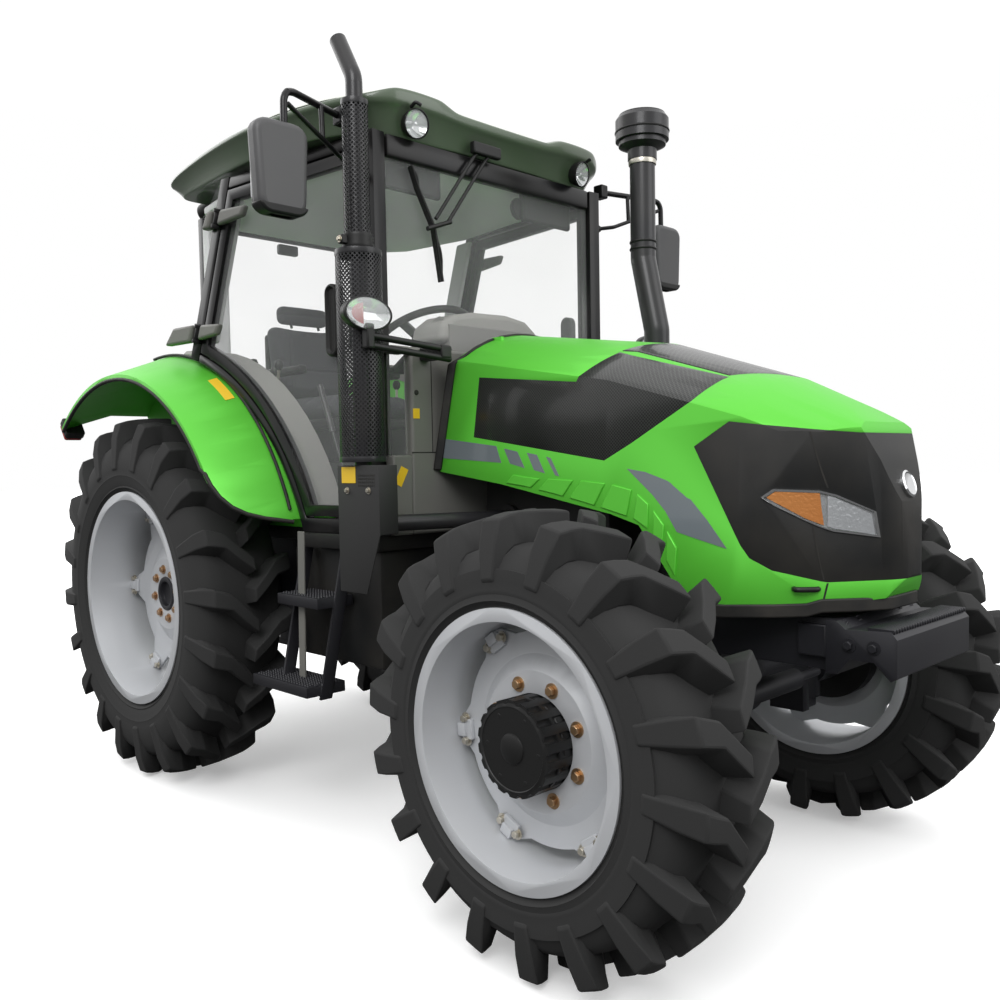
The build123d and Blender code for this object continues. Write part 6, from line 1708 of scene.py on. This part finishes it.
def sky():
    """A bright overcast sky over a dark horizon: soft light from above, plain white behind the tractor."""
    world = bpy.data.worlds.new("overcast_sky")
    bpy.context.scene.world = world
    world.use_nodes = True
    tree = world.node_tree
    tree.nodes.clear()
    paths = tree.nodes.new("ShaderNodeLightPath")
    axes = tree.nodes.new("ShaderNodeSeparateXYZ")
    link(tree, tree.nodes.new("ShaderNodeTexCoord").outputs["Generated"], axes.inputs[0])
    dome = maths(tree, "ADD", spread(tree, axes.outputs["Z"], 0.0, 0.14, 0.08, 0.95),
                 spread(tree, axes.outputs["Z"], 0.25, 0.9, 0.0, 0.50))
    seen = maths(tree, "MAXIMUM", paths.outputs["Is Camera Ray"], paths.outputs["Is Transmission Ray"])
    back = tree.nodes.new("ShaderNodeBackground")
    back.inputs["Color"].default_value = (1, 1, 1, 1)
    link(tree, maths(tree, "MAXIMUM", dome, seen), back.inputs["Strength"])
    out = tree.nodes.new("ShaderNodeOutputWorld")
    link(tree, back.outputs[0], out.inputs["Surface"])


class TRACTOR_OT_stage(bpy.types.Operator):
    """Lay the floor, hang the lamps and place the camera"""

    bl_idname = "tractor.stage"
    bl_label = "Stage"

    def execute(self, context):
        sky()
        bpy.ops.mesh.primitive_plane_add(size=FLOOR_SIZE)
        floor = called("floor")
        material = bpy.data.materials.new("floor_white")
        material.use_nodes = True
        tree = material.node_tree
        shader = tree.nodes["Principled BSDF"]
        shader.inputs["Roughness"].default_value = 0.9
        shader.inputs["Specular IOR Level"].default_value = 0.1
        paths = tree.nodes.new("ShaderNodeLightPath")
        shader.inputs["Emission Color"].default_value = (1, 1, 1, 1)
        link(tree, blended(tree, paths.outputs["Is Camera Ray"], (0.10, 0.10, 0.10, 1), (0.86, 0.86, 0.86, 1)),
             shader.inputs["Base Color"])
        reach = tree.nodes.new("ShaderNodeVectorMath")
        reach.operation = "LENGTH"
        link(tree, tree.nodes.new("ShaderNodeTexCoord").outputs["Object"], reach.inputs[0])
        glow = spread(tree, reach.outputs["Value"], 2.0, 7.0, 0.30, 1.0)
        link(tree, maths(tree, "MULTIPLY", paths.outputs["Is Camera Ray"], glow), shader.inputs["Emission Strength"])
        floor.data.materials.append(material)
        for row in LIGHTS:
            area_light(*row)
        bpy.ops.object.camera_add(location=CAMERA_AT)
        camera = context.object
        camera.name = "camera"
        camera.data.lens = CAMERA_LENS
        camera.data.shift_x, camera.data.shift_y = CAMERA_SHIFT
        ahead = Vector((math.cos(CAMERA_HEADING) * math.cos(CAMERA_PITCH), math.sin(CAMERA_HEADING) * math.cos(CAMERA_PITCH),
                        math.sin(CAMERA_PITCH)))
        level = ahead.to_track_quat("-Z", "Y").to_matrix()
        camera.rotation_euler = (level @ Matrix.Rotation(CAMERA_ROLL, 3, "Z")).to_euler()
        context.scene.camera = camera
        context.scene.view_settings.view_transform = "Standard"
        return {"FINISHED"}


class TRACTOR_PT_dressing(bpy.types.Panel):
    """Sizes, and the pieces in the order they are made"""

    bl_idname = "TRACTOR_PT_dressing"
    bl_label = "Farm tractor"
    bl_space_type = "VIEW_3D"
    bl_region_type = "UI"
    bl_category = "Tractor"

    def draw(self, context):
        for name in ("lug_depth", "front_lugs", "rear_lugs"):
            self.layout.prop(context.scene.tractor_sizes, name)
        for name in ("body_green", "roof_paint", "roof_top", "rim_silver"):
            self.layout.prop(context.scene.tractor_colours, name)
        for step in STEPS:
            self.layout.operator(step.bl_idname)


STEPS = (TRACTOR_OT_finishes, TRACTOR_OT_tyres, TRACTOR_OT_wheels, TRACTOR_OT_hood, TRACTOR_OT_roof, TRACTOR_OT_doors,
         TRACTOR_OT_cab, TRACTOR_OT_lamps, TRACTOR_OT_inside, TRACTOR_OT_fenders, TRACTOR_OT_stacks, TRACTOR_OT_underbody,
         TRACTOR_OT_edges, TRACTOR_OT_stage)
CLASSES = (TractorSizes, TractorColours, *STEPS, TRACTOR_PT_dressing)


def register():
    for kind in CLASSES:
        bpy.utils.register_class(kind)
    bpy.types.Scene.tractor_sizes = bpy.props.PointerProperty(type=TractorSizes)
    bpy.types.Scene.tractor_colours = bpy.props.PointerProperty(type=TractorColours)


def unregister():
    del bpy.types.Scene.tractor_sizes
    del bpy.types.Scene.tractor_colours
    for kind in reversed(CLASSES):
        bpy.utils.unregister_class(kind)


def main():
    """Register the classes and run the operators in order."""
    register()
    clear_selection()
    for step in STEPS:
        group, name = step.bl_idname.split(".")
        getattr(getattr(bpy.ops, group), name)()


if __name__ == "__main__":
    main()
